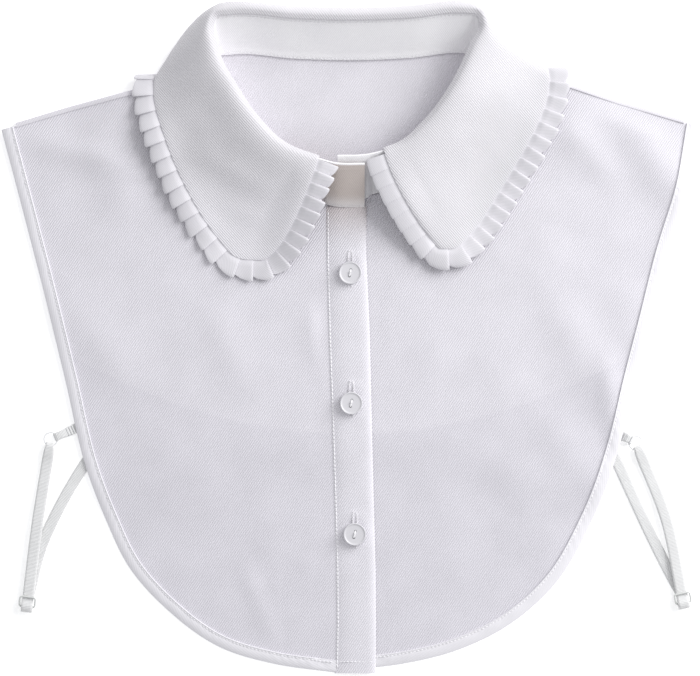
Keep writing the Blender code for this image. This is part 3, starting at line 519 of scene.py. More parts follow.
# Hem facings
# The fronts' edges are turned under twice and stitched, a raised band six to seven
# millimetres wide that puckers a little along its stitching.
HEM_SECTION = np.array([
    # distance from the outer edge, height above the underside: up over the top and back beneath
    (6.75, 0.0), (6.74, 1.0), (6.68, 1.6), (6.5, 1.85), (6.2, 1.85), (5.85, 1.6), (5.45, 1.42), (5.0, 1.5),
    (4.2, 1.5), (3.0, 1.38), (1.8, 1.12), (0.9, 0.85), (0.3, 0.6), (0.0, 0.4), (0.2, 0.06), (1.4, 0.0),
    (4.0, 0.0)])
hem_white = cotton("hem_white", (0.79, 0.775, 0.81), 20, pitch=1.2, depth=0.02, mottle=0.02)
thread = cotton("thread_white", (0.90, 0.89, 0.91), 30, pitch=0.3, depth=0.01, mottle=0.01)


STITCH_SIDES = 6
STITCH = np.array([
    # share of half the length, share of the radius
    (-1.0, 0.15), (-0.8, 0.75), (0.0, 1.0), (0.8, 0.75), (1.0, 0.15)])


def stitch_row(points, pitch, length, radius, ups=None):
    """Short rounded stitches along a path, as points and faces of one mesh."""
    if ups is None:
        ups = np.tile([0.0, 0.0, 1.0], (len(points), 1))
    distance = travelled(points)
    centres = np.arange(pitch, distance[-1] - pitch / 2, pitch)
    middle = read_at(centres, distance, points)
    ahead = unit(read_at(centres, distance, np.gradient(points, axis=0)))
    up = read_at(centres, distance, ups)
    across = unit(np.cross(ahead, up))
    up = unit(np.cross(across, ahead))
    ends, bulge = (STITCH * (length / 2, radius)).T
    angles = np.arange(STITCH_SIDES) * 2 * math.pi / STITCH_SIDES
    local = (middle[:, None, None]
             + ahead[:, None, None] * ends[None, :, None, None]
             + across[:, None, None] * (bulge[:, None] * np.cos(angles))[None, ..., None]
             + up[:, None, None] * (bulge[:, None] * np.sin(angles))[None, ..., None])
    corners = len(STITCH) * STITCH_SIDES
    one = tube_faces(len(STITCH), STITCH_SIDES)
    faces = [[corner + corners * number for corner in face] for number in range(len(centres)) for face in one]
    return local.reshape(-1, 3), faces


def stitching(name, rows, finish):
    """Rows of stitches as one piece: each is points, pitch, length, radius and any up directions."""
    points, faces, start = [], [], 0
    for row in rows:
        made, cells = stitch_row(*row)
        points.append(made)
        faces += [[corner + start for corner in face] for face in cells]
        start += len(made)
    points = np.concatenate(points)
    return new_object(name, points, faces, finish, points[:, :2], sharp=80)


HEM_POINTS, HEM_LENGTH = 640, 420.0
HEM_CROWN, HALF_CROWN = 4.6, 4.4
ROPE = 0.09
STITCH_INSET, HEM_TOP = 5.5, 1.52
BENEATH_PLACKET = np.array([(-6.6, -183.9)])
for side, edge, turn, fullness in (
        ("right", np.concatenate([RIGHT_EDGE, BENEATH_PLACKET]), 1, 0.12), ("left", LEFT_EDGE, -1, 0.0)):
    line = smooth_line(edge, HEM_POINTS)
    inward = sideways(line, turn)
    distance = np.linspace(0, HEM_LENGTH, HEM_POINTS)
    # Slanting puckers that come and go along the seam, over longer and softer dimples. The
    # placket presses the hem flat
    pressed = ease((np.abs(line[:, 0]) - 15.0) / 8.0)
    pucker = np.sin(distance / 0.95 + 1.7 * np.sin(distance / 9.1) + 1.1 * np.sin(distance / 23.0))
    strength = ROPE * ease(0.5 + 0.6 * np.sin(distance / 31.0 + 1.0) + 0.5 * np.sin(distance / 12.3))
    dimple = 0.12 * np.sin(distance / 3.7 + 2.0 * np.sin(distance / 17.0)) * np.sin(distance / 41.0)
    sections = []
    for inset, height in HEM_SECTION:
        plan = line + inward * inset
        floor = draped(*plan.T)
        slant = np.interp(distance + inset * 1.3, distance, pucker)
        upper = height > 0.3
        crown = max(0.0, 1 - abs(inset - HEM_CROWN) / HALF_CROWN)
        extra = upper * (strength * slant + dimple) * crown
        puffed = height + upper * fullness * math.sin(math.pi * min(inset / HEM_CROWN, 1.0))
        tall = min(puffed, CLOTH) + max(puffed - CLOTH, 0.0) * pressed
        sections.append(lifted(plan, floor + tall + extra))
    sections = np.stack(sections, axis=1)
    uv = strip_map(distance, travelled(HEM_SECTION))
    hem = loft(f"hem_{side}_cloth", sections, hem_white, uv)
    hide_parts(f"hem_{side}")
    row = line + inward * STITCH_INSET
    row = lifted(row, draped(*row.T) + HEM_TOP)[4:-4]
    sewn = stitching(f"hem_{side}_stitches", [(row, 2.1, 1.6, 0.25)], thread)

# Placket
# A folded strip sewn down the wearer's right front, over the edge of the other front. Its
# free side is a pressed fold and its inner side is stitched.
PLACKET_SECTION = [
    # share of the width, height of the top over the front beneath
    (0.0, 0.3), (0.008, 0.7), (0.02, 0.95), (0.035, 1.05), (0.055, 1.05), (0.075, 1.2), (0.12, 1.5),
    (0.2, 1.85), (0.3, 2.15), (0.42, 2.4), (0.55, 2.52), (0.68, 2.62), (0.78, 2.7), (0.85, 2.66),
    (0.91, 2.45), (0.955, 2.1), (0.985, 1.65), (1.0, 1.3)]
PLACKET_UNDERSIDE = [
    # the same two columns, back from the fold
    (0.99, 1.15), (0.95, 1.3), (0.6, 1.35), (0.3, 0.9), (0.14, 0.3), (0.0, 0.0)]
PLACKET_TOP, PLACKET_FOOT = 72.5, -184.0
BUTTONS = [(0.0, 36.0), (0.6, -35.5), (2.5, -107.5)]
rows_y = np.linspace(PLACKET_TOP, PLACKET_FOOT, 420)
left_x, right_x = placket_edges(rows_y)
sections = []
# Swelling between the seams, a dent down the middle and a soft rise round each button
for share, height in PLACKET_SECTION:
    x = left_x + (right_x - left_x) * share
    dent = 0.10 * np.exp(-((x - 0.4) / 1.3)**2) * ease((20 - rows_y) / 20) * ease((rows_y + 110) / 30)
    swell = 0.10 * np.sin(rows_y / 13.0 + share * 2.5) * math.sin(math.pi * share)
    tall = height if share < 0.1 or share > 0.99 else height + swell
    for bx, by in BUTTONS:
        from_hole = np.hypot((x - bx) / 0.9, (rows_y - by - 2.0) / 1.2)
        tall = tall + 0.4 * np.exp(-((from_hole - 7.5) / 2.2)**2) * math.sin(math.pi * share)
    sections.append(np.stack([x, rows_y, front_floor(x, rows_y) + tall - dent], axis=1))
for share, height in PLACKET_UNDERSIDE:
    x = left_x + (right_x - left_x) * share
    sections.append(np.stack([x, rows_y, front_floor(x, rows_y) + height], axis=1))
sections = np.stack(sections, axis=1)
# Painted shade: the top of the placket is tinted brown beneath the collar's points
neck_shade = plan_mask("neck_shade", [("Y", 0.048, 0.080)])
placket_twill = cotton("placket_twill", (0.81, 0.79, 0.84), 56, masks=[(neck_shade, (0.85, 0.79, 0.745))])
placket = loft("placket_cloth", sections, placket_twill, sections[..., :2])
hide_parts("placket")
row = np.stack([left_x + 1.3, rows_y], axis=1)
row = lifted(row, front_floor(row[:, 0], rows_y) + 1.22)
foot_x = np.linspace(-7.5, 13.6, 40)
foot_y = np.full(40, -177.6)
foot_z = front_floor(foot_x, foot_y) + 2.55 - 1.4 * ease((-foot_x - 2.5) / 4.0)
foot_row = np.stack([foot_x, foot_y, foot_z], axis=1)
stitching("placket_stitches", [(row[3:-3], 2.2, 1.85, 0.34), (foot_row, 2.1, 1.6, 0.25)], thread)

# Collar band
# A stand of interlined cotton about 27 mm high. The neck edges of the panels are sewn into
# its lower edge, and its top edge is the fold into the leaf. Stitches run along both.
BAND_WALL = 1.4
BAND_STATIONS = 900
BAND_SHARES = np.array([0.0, 0.02, 0.045, 0.07, 0.1, 0.2, 0.35, 0.5, 0.65, 0.8, 0.86, 0.89, 0.92, 0.96, 1.0])
BAND_SECTION = np.array([
    # share of the height, share of the wall: the neck seam, the plain height and the fold's seam
    (0.0, 0.6), (0.02, 1.25), (0.045, 1.1), (0.07, 1.3), (0.1, 0.9), (0.86, 1.0), (0.89, 1.1),
    (0.92, 0.85), (0.96, 1.1), (1.0, 0.8)])
LAP_MIDDLE_X, LAP_HALF, LAP_FADE, LAP_BELOW_Y = -2.0, 14.0, 3.0, 85.0
LAP_FORWARD, LAP_RISE, SEAM_SINK = 1.8, 1.0, 0.45
fold_length = float(travelled(band_high)[-1])
# Painted shade: the outer end of the lap is tinted brown for the shade of the leaf's points, below its top
# edge and less towards its lower edge
lap_shade = plan_mask("lap_shade", [
    ("X", (fold_length - 55.0) * MM, (fold_length - 40.0) * MM), ("Y", 0.0268, 0.0260),
    ("Y", -0.006, 0.0095)])
# Painted light: the band's cotton is lighter than the fronts', to light its leaning inner face
band_white = cotton("band_white", (0.95, 0.935, 0.965), 60, pitch=0.9, depth=0.03,
                    masks=[(lap_shade, (0.61, 0.55, 0.505))])
# The lap lies over the top of the placket, where its lower edge is pressed thin
low, high = band_rings(BAND_STATIONS)
over_placket = ease((LAP_HALF - np.abs(low[:, 0] - LAP_MIDDLE_X)) / LAP_FADE) * (low[:, 1] < LAP_BELOW_Y)
low[:, 1] -= LAP_FORWARD * over_placket
low[:, 2] += LAP_RISE * over_placket - SEAM_SINK * (1 - over_placket)
share = BAND_SHARES[:, None, None]
middle = low[None] * (1 - share) + high[None] * share
half = BAND_WALL / 2 * np.interp(BAND_SHARES, *BAND_SECTION.T)[:, None, None]
thinned = np.interp(BAND_SHARES, [0, 0.1], [0.15, 1.0])[:, None, None]
half = half * (1 - over_placket[None, :, None] * (1 - thinned))
uv = strip_map(travelled(high), BAND_SHARES * BAND_HEIGHT_FRONT).swapaxes(0, 1)
band = wall("band_cloth", middle, half, uv, band_white)
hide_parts("collar_band")
rows = []
for at in (0.045, 0.905):
    line = low * (1 - at) + high * at
    facing = unit(np.cross(np.gradient(high, axis=0), high - low))
    facing *= np.sign(facing[BAND_STATIONS // 2] @ np.array([0.0, -1.0, 0.3]))
    line = line + facing * BAND_WALL / 2 * 1.05
    rows.append((line[3:-3], 2.1, 1.4, 0.28, facing[3:-3]))
stitching("band_stitches", rows, thread)

# Collar leaf
# Two plies of cotton over interlining, folded over the top of the band. It slopes down over
# the fronts to rounded points, turns round the shoulders and lies beneath the back.
LEAF_WALL = 1.2
LEAF_STATIONS, LEAF_ROWS = 360, 48
LEAF_SET_IN, LEAF_SEAT, LEAF_START, LEAF_REST = 25.5, 1.9, 0.9, 1.3
ROLL_REACH = 1.35
LEAF_EDGE = np.array([
    # share of the fold line, edge x, edge y, 0 in front of the shoulder and 1 behind it
    (0.000, 49.2, 49.2, 0.0), (0.025, 58.0, 49.8, 0.0), (0.055, 66.3, 57.5, 0.0), (0.125, 82.8, 82.2, 0.0),
    (0.195, 103.1, 118.5, 0.0), (0.234, 108.6, 135.5, 0.0), (0.248, 109.2, 142.5, 0.0),
    (0.262, 108.2, 148.0, 0.2), (0.274, 105.8, 149.8, 0.6), (0.286, 101.8, 147.6, 0.92),
    (0.300, 96.0, 143.6, 1.0), (0.320, 87.0, 139.8, 1.0), (0.370, 60.0, 137.0, 1.0),
    (0.500, -1.9, 135.5, 1.0), (0.610, -60.2, 136.0, 1.0), (0.655, -89.5, 137.0, 1.0),
    (0.672, -96.5, 140.0, 1.0), (0.684, -101.0, 143.2, 0.92), (0.696, -104.6, 145.0, 0.6),
    (0.708, -106.8, 143.2, 0.2), (0.722, -107.6, 138.5, 0.0), (0.738, -107.3, 131.5, 0.0),
    (0.780, -101.5, 110.8, 0.0), (0.855, -88.8, 80.6, 0.0), (0.925, -73.4, 56.4, 0.0),
    (0.970, -61.3, 44.3, 0.0), (1.000, -48.1, 42.9, 0.0)])
LEAF_LIFTS = [
    # share of the edge, width as a share, how far the edge stands off the fronts
    (0.83, 0.07, 4.2), (0.77, 0.035, 3.6), (0.0, 0.06, 3.8), (0.16, 0.05, 0.8)]
LEAF_FOLDS = [
    # x0, y0, x1, y1, width, height
    (-108, 113, -34, 76, 7, 1.3), (-84, 78, -40, 62, 5, 0.6), (-96, 132, -70, 96, 7, 0.7),
    (66, 120, 96, 84, 9, 0.7)]
END_OUT = {"left": (3.5, -15.0), "right": (-5.5, -14.8)}
END_IN = {"left": (-11.5, 11.5), "right": (14.3, 5.2)}


def smoothed(directions, window):
    """Directions along a path, averaged over a window of so many points."""
    kernel = np.hanning(window) / np.hanning(window).sum()
    padded = [np.pad(column, window // 2, mode="edge") for column in directions.T]
    return unit(np.stack([np.convolve(column, kernel, "valid") for column in padded], axis=1))


def leaf_surface(count, rows):
    """Middle surface of the leaf: a cubic Bezier curve from the fold to the edge at each station.

    Also gives how far each station lies beneath the back, and the turned cloth along the fold.
    """
    length = travelled(band_high[:, :2])
    share = np.linspace(0, 1, count)
    at = LEAF_SET_IN + share * (length[-1] - 2 * LEAF_SET_IN)
    fold = read_at(at, length, band_high)
    outward = smoothed(sideways(fold[:, :2], -1), 9)
    up = unit(fold - read_at(at, length, band_low))
    facing = unit(np.cross(np.gradient(fold, axis=0), up))
    facing *= np.sign(np.sum(facing[:, :2] * -outward, axis=1) + 1e-6)[:, None]
    roll = np.stack([fold + ROLL_REACH * (facing * math.cos(a) + up * math.sin(a))
                     for a in np.radians([-50, -25, 0, 25])], axis=1)
    fold[:, :2] += outward * LEAF_START
    fold[:, 2] += LEAF_SEAT
    edge_rows = smooth_rows(LEAF_EDGE[:, 1:], LEAF_EDGE[:, 0], share)
    behind = np.clip(edge_rows[:, 2], 0, 1)
    above = front_floor(*edge_rows[:, :2].T) + CLOTH + LEAF_REST
    edge = lifted(edge_rows[:, :2], (1 - behind) * above + behind * (LEAF_WALL / 2 + 0.1))
    for centre, width, height in LEAF_LIFTS:
        edge[:, 2] += height * np.exp(-((share - centre) / width)**2)
    span = (edge - fold)[:, :2]
    mix = behind[:, None]
    out_plan = (1 - mix) * span * 0.15 + mix * outward * 4.0
    in_plan = -(1 - mix) * 0.52 * span + mix * (outward * 18.5 - span)
    for at_end, name in ((share, "left"), (1 - share, "right")):
        near = (1 - ease(at_end / 0.03))[:, None]
        out_plan = (1 - near) * out_plan + near * np.array(END_OUT[name])
        in_plan = (1 - near) * in_plan + near * np.array(END_IN[name])
    handle_out = fold + lifted(out_plan, (1 - behind) * 3.5 + behind * 2.5)
    handle_in = edge + lifted(in_plan, 1.3 * (1 - behind))
    t = np.linspace(0, 1, rows + 1)[None, :, None]
    surface = ((1 - t)**3 * fold[:, None] + 3 * (1 - t)**2 * t * handle_out[:, None]
               + 3 * (1 - t) * t**2 * handle_in[:, None] + t**3 * edge[:, None])
    return surface, behind, roll


# Painted light and shade: the leaf's cotton is darker than the fronts', a painted shade over most of it, and
# its point on the wearer's right is tinted lighter again
painted_light_point = plan_mask("painted_light_point", [("Y", 0.100, 0.066), ("X", 0.0, -0.030)])
leaf_white = cotton("leaf_white", (0.69, 0.675, 0.705), -48, pitch=1.05, depth=0.10,
                    masks=[(painted_light_point, (1.15, 1.15, 1.155))])
surface, behind, roll = leaf_surface(LEAF_STATIONS, LEAF_ROWS)
crease = soft_folds(surface[..., 0], surface[..., 1], LEAF_FOLDS) * (1 - behind)[:, None]
surface[..., 2] += crease * np.sin(np.linspace(0, math.pi, LEAF_ROWS + 1))[None, :]
path = np.concatenate([surface[0, :-1], surface[:, -1], surface[-1, -2::-1]])
surface = np.concatenate([roll, surface], axis=1)
# The wall thins to half over its last one and a half steps before the rim
stations, rows = np.indices(surface.shape[:2])
from_rim = np.minimum(np.minimum(stations, stations[::-1]), np.minimum(rows, rows[:, ::-1]))
half = LEAF_WALL / 2 * np.sqrt(np.clip(0.25 + 0.75 * from_rim / 1.5, 0, 1))[..., None]
leaf = wall("leaf_cloth", surface, half, surface[..., :2], leaf_white)
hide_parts("collar_leaf")

# Frill
# One strip about 12 mm wide, pressed into 74 knife pleats and caught in the leaf's edge. Each
# pleat laps over the next one, and the pleats fan out round the points.
FRILL_WALL = 0.5
PLEATS = 74
PLEAT_PITCH = np.array([
    # share of the free edge, millimetres from pleat to pleat
    (0.00, 8.3), (0.09, 8.0), (0.12, 7.2), (0.30, 7.5), (0.36, 8.6), (0.86, 8.6), (0.88, 7.2),
    (0.93, 6.9), (1.00, 6.9)])
PLEAT = np.array([
    # share of the pitch, height: the rising face, the lip, the fold beneath it and the next face
    (0.15, 0.22), (0.40, 0.40), (0.65, 0.66), (0.85, 0.88), (1.00, 1.00), (1.06, 1.03), (1.11, 0.96),
    (1.12, 0.80), (1.06, 0.66), (0.90, 0.58), (0.72, 0.54), (0.66, 0.44), (0.72, 0.30), (0.90, 0.22)])
REACHES = np.array([
    # distance from the leaf's edge, rise of the pleats, droop
    (-1.2, 0.30, 0.10), (0.1, 0.30, 0.20), (0.8, 0.50, 0.30), (2.0, 1.30, 0.20), (4.0, 1.80, 0.40),
    (7.0, 2.05, 0.90), (9.3, 2.10, 1.40), (10.4, 1.95, 1.75), (10.9, 1.60, 2.05)])
TOOTH = 2.2
frill_white = cotton("frill_white", (0.72, 0.705, 0.74), 60, pitch=0.8, depth=0.03)
open_ends = np.zeros(LEAF_ROWS)
hidden = np.concatenate([open_ends, behind, open_ends])
path = resample(np.column_stack([path, hidden]), FINE)
hidden = path[:, 3]
front_way = sideways(path[:, :2], -1)
beneath = sideways(path[:, :2], 1)
above = np.where(hidden < 0.02)[0]
last_left, first_right = above[above < FINE // 2][-1], above[above > FINE // 2][0]
front_way[last_left:FINE // 2] = front_way[last_left]
front_way[FINE // 2:first_right] = front_way[first_right]
turning = ease((hidden - 0.8) / 0.2)[:, None]
away = smoothed(unit((1 - turning) * front_way + turning * beneath), 41)
rng = np.random.default_rng(4)
number = np.repeat(np.arange(PLEATS), len(PLEAT))
step, heights = np.tile(PLEAT[:, 0], PLEATS), np.tile(PLEAT[:, 1], PLEATS)
place = np.linspace(0, 1, FINE)
passed = np.cumsum(1 / np.interp(place, PLEAT_PITCH[:, 0], PLEAT_PITCH[:, 1]))
passed = (passed - passed[0]) / (passed[-1] - passed[0]) * PLEATS
stations = np.arange(FINE)
position = np.interp(number + step, passed, stations)
base = read_at(position, stations, path)
out = unit(read_at(position, stations, away))
ahead = unit(read_at(position, stations, np.gradient(path[:, :2], axis=0)))
lean, longer, taller = rng.uniform([-0.5, -0.4, 0.8], [0.5, 0.4, 1.15], (PLEATS, 3))[number].T
hide = base[:, 3]
flat_inner = 0.25 + 0.75 * ease((position / FINE - 0.075) / 0.03)
calm = (1 - 0.6 * 4 * hide * (1 - hide) - 0.25 * hide) * flat_inner
grid = []
for reach, rise, droop in REACHES:
    open_share = np.clip(reach / REACHES[-1, 0], 0, 1)
    corner = 0.9 * np.clip(np.abs(step - 0.62) / 0.5, 0, 1)**5
    tooth = (TOOTH * (step - 0.6) + longer - corner) * open_share**2 * flat_inner
    plan = base[:, :2] + out * (reach + tooth)[:, None] + ahead * (lean * open_share * 0.9)[:, None]
    rest = front_floor(*plan.T) + CLOTH + 0.6
    over = np.maximum(rest, base[:, 2] - 0.35 - droop)
    z = (1 - hide) * over + hide * 0.35 + heights * rise * (1 + (taller - 1) * open_share) * calm
    grid.append(lifted(plan, z))
grid = np.stack(grid, axis=1)
uv = strip_map(travelled(grid[:, 3]), REACHES[:, 0])
frill = wall("frill_cloth", grid, FRILL_WALL / 2, uv, frill_white)
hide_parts("frill")

# Buttons
# Three two-hole buttons of clear to white resin, turned with a raised rim and a sunk middle.
# Cotton thread runs between the holes, and each sits over a worked vertical buttonhole.
resin = plain("button_resin", (0.66, 0.65, 0.68), 0.4, [("Coat Weight", 0.08)])
BUTTON_PROFILE = [
    # radius, height
    (0.05, 0.0), (4.8, 0.0), (5.7, 0.3), (6.15, 0.8), (6.25, 1.4), (6.2, 1.95), (6.0, 2.2), (5.75, 2.25),
    (5.5, 2.15), (5.3, 1.95), (5.1, 1.85), (4.6, 1.82), (2.4, 1.75), (0.05, 1.72)]
BUTTON_SEAT, BUTTONHOLE_TOP = 3.05, 2.6
HOLE_RADIUS, HOLE_OUT = 0.7, 1.8
TILT = math.radians(-13)
toward_hole = np.array([-math.sin(TILT), math.cos(TILT)]) * HOLE_OUT
angles = np.arange(64) * 2 * math.pi / 64
for number, (bx, by) in enumerate(BUTTONS, start=1):
    floor = float(front_floor(bx, by)) + BUTTON_SEAT
    sections = np.array([[(bx + r * math.cos(a), by + r * math.sin(a), floor + h) for a in angles]
                         for r, h in BUTTON_PROFILE])
    button = loft(f"button_{number}_body", sections, resin, sharp=30)
    for sign in (-1, 1):
        bpy.ops.mesh.primitive_cylinder_add(vertices=24, radius=HOLE_RADIUS * MM, depth=8 * MM)
        cutter = bpy.context.object
        place = np.array([*(sign * toward_hole + (bx, by)), floor]) + SETTLE
        cutter.location = (place * MM).tolist()
        cut = button.modifiers.new("hole", "BOOLEAN")
        cut.object = cutter
        cut.operation = "DIFFERENCE"
        bpy.context.view_layer.objects.active = button
        bpy.ops.object.modifier_apply(modifier=cut.name)
        bpy.data.objects.remove(cutter, do_unlink=True)
    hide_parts(f"button_{number}")
    strands = []
    for offset in (-0.28, 0.0, 0.28):
        t = np.linspace(-1, 1, 13)
        line = lifted(t[:, None] * toward_hole + (bx + offset, by), floor + 2.1 - 1.1 * np.abs(t)**6)
        strands.append((line, 1.85, 3.2, 0.2))
    stitching(f"button_{number}_thread", strands, thread)
    hole_rows = []
    top_z = float(front_floor(bx, by)) + BUTTONHOLE_TOP
    for offset in (-1.15, 1.15):
        way = np.linspace(by - 8.0, by + 12.4, 90)
        narrowing = 1 - 0.6 * ease((np.abs(way - by - 2.2) - 8.6) / 1.6)
        line = np.stack([bx + offset * narrowing, way, np.full(90, top_z)], axis=1)
        across_way = np.tile([1.0, 0.0, 0.0], (90, 1))
        hole_rows.append((line, 0.55, 0.34, 0.75, across_way))
    stitching(f"buttonhole_{number}_stitches", hole_rows, thread)

# Tabs, rings, straps and sliders
# Ribbed elastic webbing six millimetres wide runs from the back's hem through a clear ring on a
# short tab and back on itself, and is woven through a pale slider at its lower end.
webbing = cotton("webbing", (0.85, 0.85, 0.85), 90, pitch=0.75, depth=0.12, rough=0.8, mottle=0.10)
nylon = plain("nylon", (0.86, 0.86, 0.87), 0.3)
grey_nylon = plain("grey_nylon", (0.66, 0.67, 0.66), 0.3)
# Bar-tack thread in dark grey: real stitches, their darkness partly painted shade of the tab's folds
tack_thread_and_shade = cotton("tack_thread_and_shade", (0.42, 0.42, 0.44), 30, pitch=0.3, depth=0.01, mottle=0.02)
WEB, WEB_WIDTH, WEB_AT_RING, TAB_WIDTH = 1.0, 6.2, 4.4, 5.6
RING_RADIUS, RING_WIRE, RING_HEIGHT, RING_CLEAR = 3.7, 0.5, 1.95, 0.35
SLIDER_HALF, SLIDER_CORNER, SLIDER_WIRE, SLIDER_DEPTH = (1.45, 2.85), 1.4, 0.55, 0.6
SLIDER_HIGH, SLIDER_LOW = 4.7, 3.35
STRAPS = {
    "right": {"hem": (-151.0, -49.4), "ring": (-164.4, -55.3), "slider": (-177.2, -144.6),
              "bow": (-171.6, -100.0),
              "tail": [(-169.8, -114.7), (-159.4, -92.1), (-145.8, -69.0), (-114.8, -29.4)]},
    "left": {"hem": (149.7, -53.4), "ring": (156.9, -57.3), "slider": (182.6, -142.6), "bow": (173.2, -98.0),
             "tail": [(167.6, -112.7), (154.8, -85.5), (146.0, -66.3), (122.6, -25.4)]},
}


def ribbon(name, path, widths, count):
    """Flat webbing along a smooth path, its width level and square to the path in plan."""
    path = np.asarray(path, dtype=float)
    knots = travelled(path)
    at = np.linspace(0, knots[-1], count)
    path = smooth_rows(np.column_stack([path, widths]), knots, at)
    path, widths = path[:, :3], path[:, 3]
    along = unit(np.gradient(path, axis=0))
    level = np.linalg.norm(along[:, :2], axis=1)
    across = unit(np.stack([-along[:, 1], along[:, 0]], axis=1))
    lying = np.where(level > 0.5)[0]
    for before, after in zip(lying[:-1], lying[1:]):
        if across[before] @ across[after] < 0:
            across[after] *= -1
    place = np.arange(count)
    across = lifted(unit(read_at(place, lying, across[lying])), 0.0)
    normal = unit(np.cross(along, across))
    upper = [(-1, 0.15), (-0.96, 0.42), (-0.6, 0.5), (0, 0.5), (0.6, 0.5), (0.96, 0.42), (1, 0.15)]
    outline = upper + [(u, -v) for u, v in reversed(upper)]
    sections = np.stack([path + across * (widths / 2 * u)[:, None] + normal * WEB * v for u, v in outline],
                        axis=1)
    sections[..., 2] = np.maximum(sections[..., 2], 0.0)
    uv = strip_map(at, np.array([u * 3.0 for u, v in outline]))
    return loft(name, sections, webbing, uv, sharp=70)


def wire_loop(name, plan, outward, height, width, depth, finish):
    """Round wire along a closed path in plan, with the way out of the loop at each of its points."""
    sections = [lifted(plan + outward * (width * math.cos(b)), height + depth * math.sin(b))
                for b in np.arange(16) * math.pi / 8]
    return loft(name, np.stack(sections, axis=1), finish, joined=True, sharp=80)


def ring_bend(ring, ahead):
    """Points of webbing that goes under a ring's wire, up through the ring and back over the wire."""
    wire = ring - ahead * RING_RADIUS
    half = RING_HEIGHT - WEB / 2
    turn = RING_WIRE + RING_CLEAR + WEB / 2
    return [(*(wire + ahead * turn * math.sin(a)), RING_HEIGHT - half * math.cos(a))
            for a in np.linspace(0.15, math.pi - 0.15, 7)]


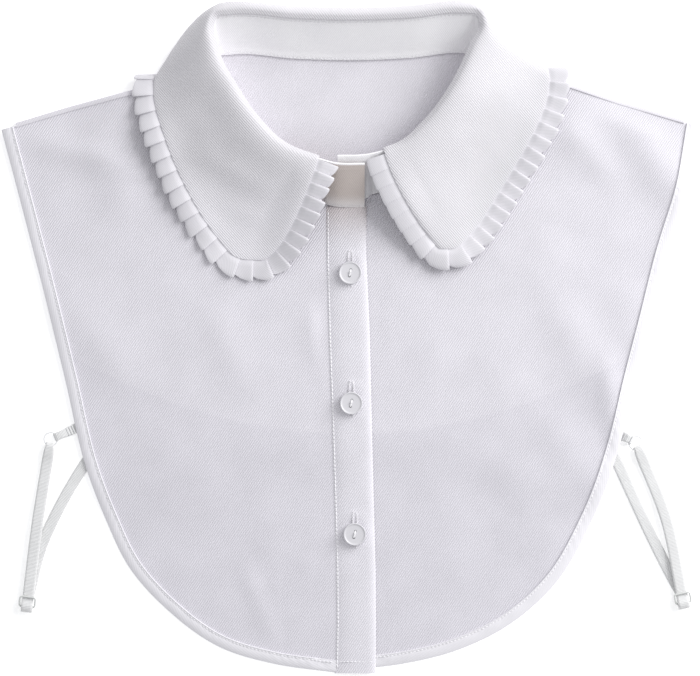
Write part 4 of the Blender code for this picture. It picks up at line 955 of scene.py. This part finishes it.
for side, sizes in STRAPS.items():
    hem, ring, slider, bow = (np.array(sizes[key]) for key in ("hem", "ring", "slider", "bow"))
    angles = np.arange(48) * 2 * math.pi / 48
    outward = np.stack([np.cos(angles), np.sin(angles)], axis=1)
    hoop = wire_loop(f"ring_{side}_hoop", ring + RING_RADIUS * outward, outward, RING_HEIGHT, RING_WIRE,
                     RING_WIRE, nylon)
    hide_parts(f"ring_{side}")

    ahead = unit(ring - hem)
    wire = ring - ahead * RING_RADIUS
    gap = np.linalg.norm(wire - hem)
    high_z, resting = 2 * RING_HEIGHT - WEB / 2, WEB * 1.5 + 0.3
    beneath = [hem - ahead * 4.0, hem + ahead * gap * 0.3, wire - ahead * 1.4]
    path = [(*plan, WEB / 2) for plan in beneath] + ring_bend(ring, ahead)
    path += [(*(wire - ahead * 1.4), high_z), (*(hem + ahead * gap * 0.45), (high_z + resting) / 2),
             (*(hem + ahead * 0.9), resting + 0.15)]
    widths = [TAB_WIDTH, TAB_WIDTH * 0.95] + [WEB_AT_RING] * 9 + [TAB_WIDTH * 0.85, TAB_WIDTH]
    tab = ribbon(f"tab_{side}_web", path, widths, 120)
    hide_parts(f"tab_{side}")
    square_to = np.array([-ahead[1], ahead[0]])
    # Bar tacks across each tab: real stitches, their dark grey colour partly painted shade of the tab's folds
    tacks = []
    for offset in (1.6, 3.2, 4.8):
        across_tab = np.linspace(-TAB_WIDTH / 2, TAB_WIDTH / 2, 20)[:, None]
        line = lifted(hem + ahead * offset + square_to * across_tab * 0.92, resting + 0.15 + WEB / 2)
        line[:, 2] += (high_z - resting - 0.15) * 0.5 * (offset - 0.9) / (gap * 0.45)
        tacks.append((line, 0.9, 0.85, 0.26))
    stitching(f"tab_{side}_tacks", tacks, tack_thread_and_shade)

    line = smooth_line([slider, bow, ring], FINE)
    from_ring = np.linalg.norm(line - ring, axis=1)
    from_slider = np.linalg.norm(line - slider, axis=1)
    ahead_ring, ahead_slider = unit(line[-1] - line[-80]), unit(line[0] - line[80])
    lower = resample(line[(from_slider > 6.8) & (from_ring > RING_RADIUS + 2.0)], 13)
    step = WEB + 0.3
    distance = np.linalg.norm(lower - slider, axis=1)
    rest = WEB / 2 + step * (1 - ease((distance - 46.0) / 14.0))
    near_ring = 1 - ease((np.linalg.norm(lower[::-1] - ring, axis=1) - RING_RADIUS - 2.0) / 9.0)
    over = rest[::-1] + step
    over = over + near_ring * (2 * RING_HEIGHT - WEB / 2 - over)
    path = [(*plan, height) for plan, height in zip(lower, rest)]
    path += ring_bend(ring, ahead_ring)
    path += [(*plan, height) for plan, height in zip(lower[::-1], over)]
    under = WEB / 2 + 2 * step
    weave = [(-3.6, under), (-2.4, under + 0.15), (0.0, 4.1), (2.6, 4.95), (4.3, 4.4), (5.4, 2.9),
             (5.2, 1.3), (4.0, 0.5), (2.0, 0.5)]
    path += [(*(slider + ahead_slider * along), height) for along, height in weave]
    tail = smooth_line([slider - ahead_slider * 1.0] + [np.array(p) for p in sizes["tail"]], 16)
    path += [(*plan, WEB / 2) for plan in tail]
    widths = np.full(len(path), WEB_WIDTH)
    widths[13:20] = WEB_AT_RING
    widths[[12, 20]] = (WEB_WIDTH + WEB_AT_RING) / 2
    strap = ribbon(f"strap_{side}_web", path, widths, 700)
    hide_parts(f"strap_{side}")

    cross = np.array([-ahead_slider[1], ahead_slider[0]])
    corners = []
    for a, sign_a, sign_b in ((0, 1, 1), (90, -1, 1), (180, -1, -1), (270, 1, -1)):
        for turn in np.radians(a + np.linspace(0, 90, 7)):
            corners.append((sign_a * SLIDER_HALF[0], sign_b * SLIDER_HALF[1], math.cos(turn), math.sin(turn)))
    corners = np.array(corners)
    along, side_way = corners[:, :2].T + SLIDER_CORNER * corners[:, 2:].T
    plan = slider + ahead_slider * along[:, None] + cross * side_way[:, None]
    outward = ahead_slider * corners[:, 2:3] + cross * corners[:, 3:]
    height = SLIDER_HIGH + (SLIDER_LOW - SLIDER_HIGH) * (along + 2.85) / 5.7
    buckle = wire_loop(f"slider_{side}_frame", plan, outward, height, SLIDER_WIRE, SLIDER_DEPTH, grey_nylon)
    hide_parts(f"slider_{side}")

# Table, light and camera
# A plain white table under soft studio light from the upper right, seen straight from above.
bpy.ops.mesh.primitive_plane_add(size=6.0, location=(0, 0, -0.0002))
table = bpy.context.object
table.name = "table"
table.data.materials.append(plain("table_white", (0.96, 0.96, 0.96), 0.9, [
    ("Emission Color", (1.0, 1.0, 1.0, 1)), ("Emission Strength", 0.35)]))

world = bpy.data.worlds.new("studio")
world.use_nodes = True
sky = world.node_tree.nodes["Background"]
sky.inputs["Color"].default_value = (0.97, 0.98, 1.0, 1)
sky.inputs["Strength"].default_value = 0.64
bpy.context.scene.world = world
KEY_PLACE = np.array([1.15, 0.76, 0.82])
key_light = bpy.data.lights.new("key", "AREA")
key_light.size = 1.1
key_light.energy = 27.0
lamp = placed("key", key_light)
lamp.location = KEY_PLACE
lamp.rotation_euler = (math.acos(KEY_PLACE[2] / np.linalg.norm(KEY_PLACE)), 0.0,
                       math.atan2(-KEY_PLACE[1], -KEY_PLACE[0]) - math.pi / 2)
camera_data = bpy.data.cameras.new("camera")
camera_data.sensor_width = 36.0
camera_data.lens = 187.0
camera = placed("camera", camera_data)
camera.location = (0.0, 0.0, 2.0)
bpy.context.scene.camera = camera
bpy.context.scene.view_settings.view_transform = "Standard"
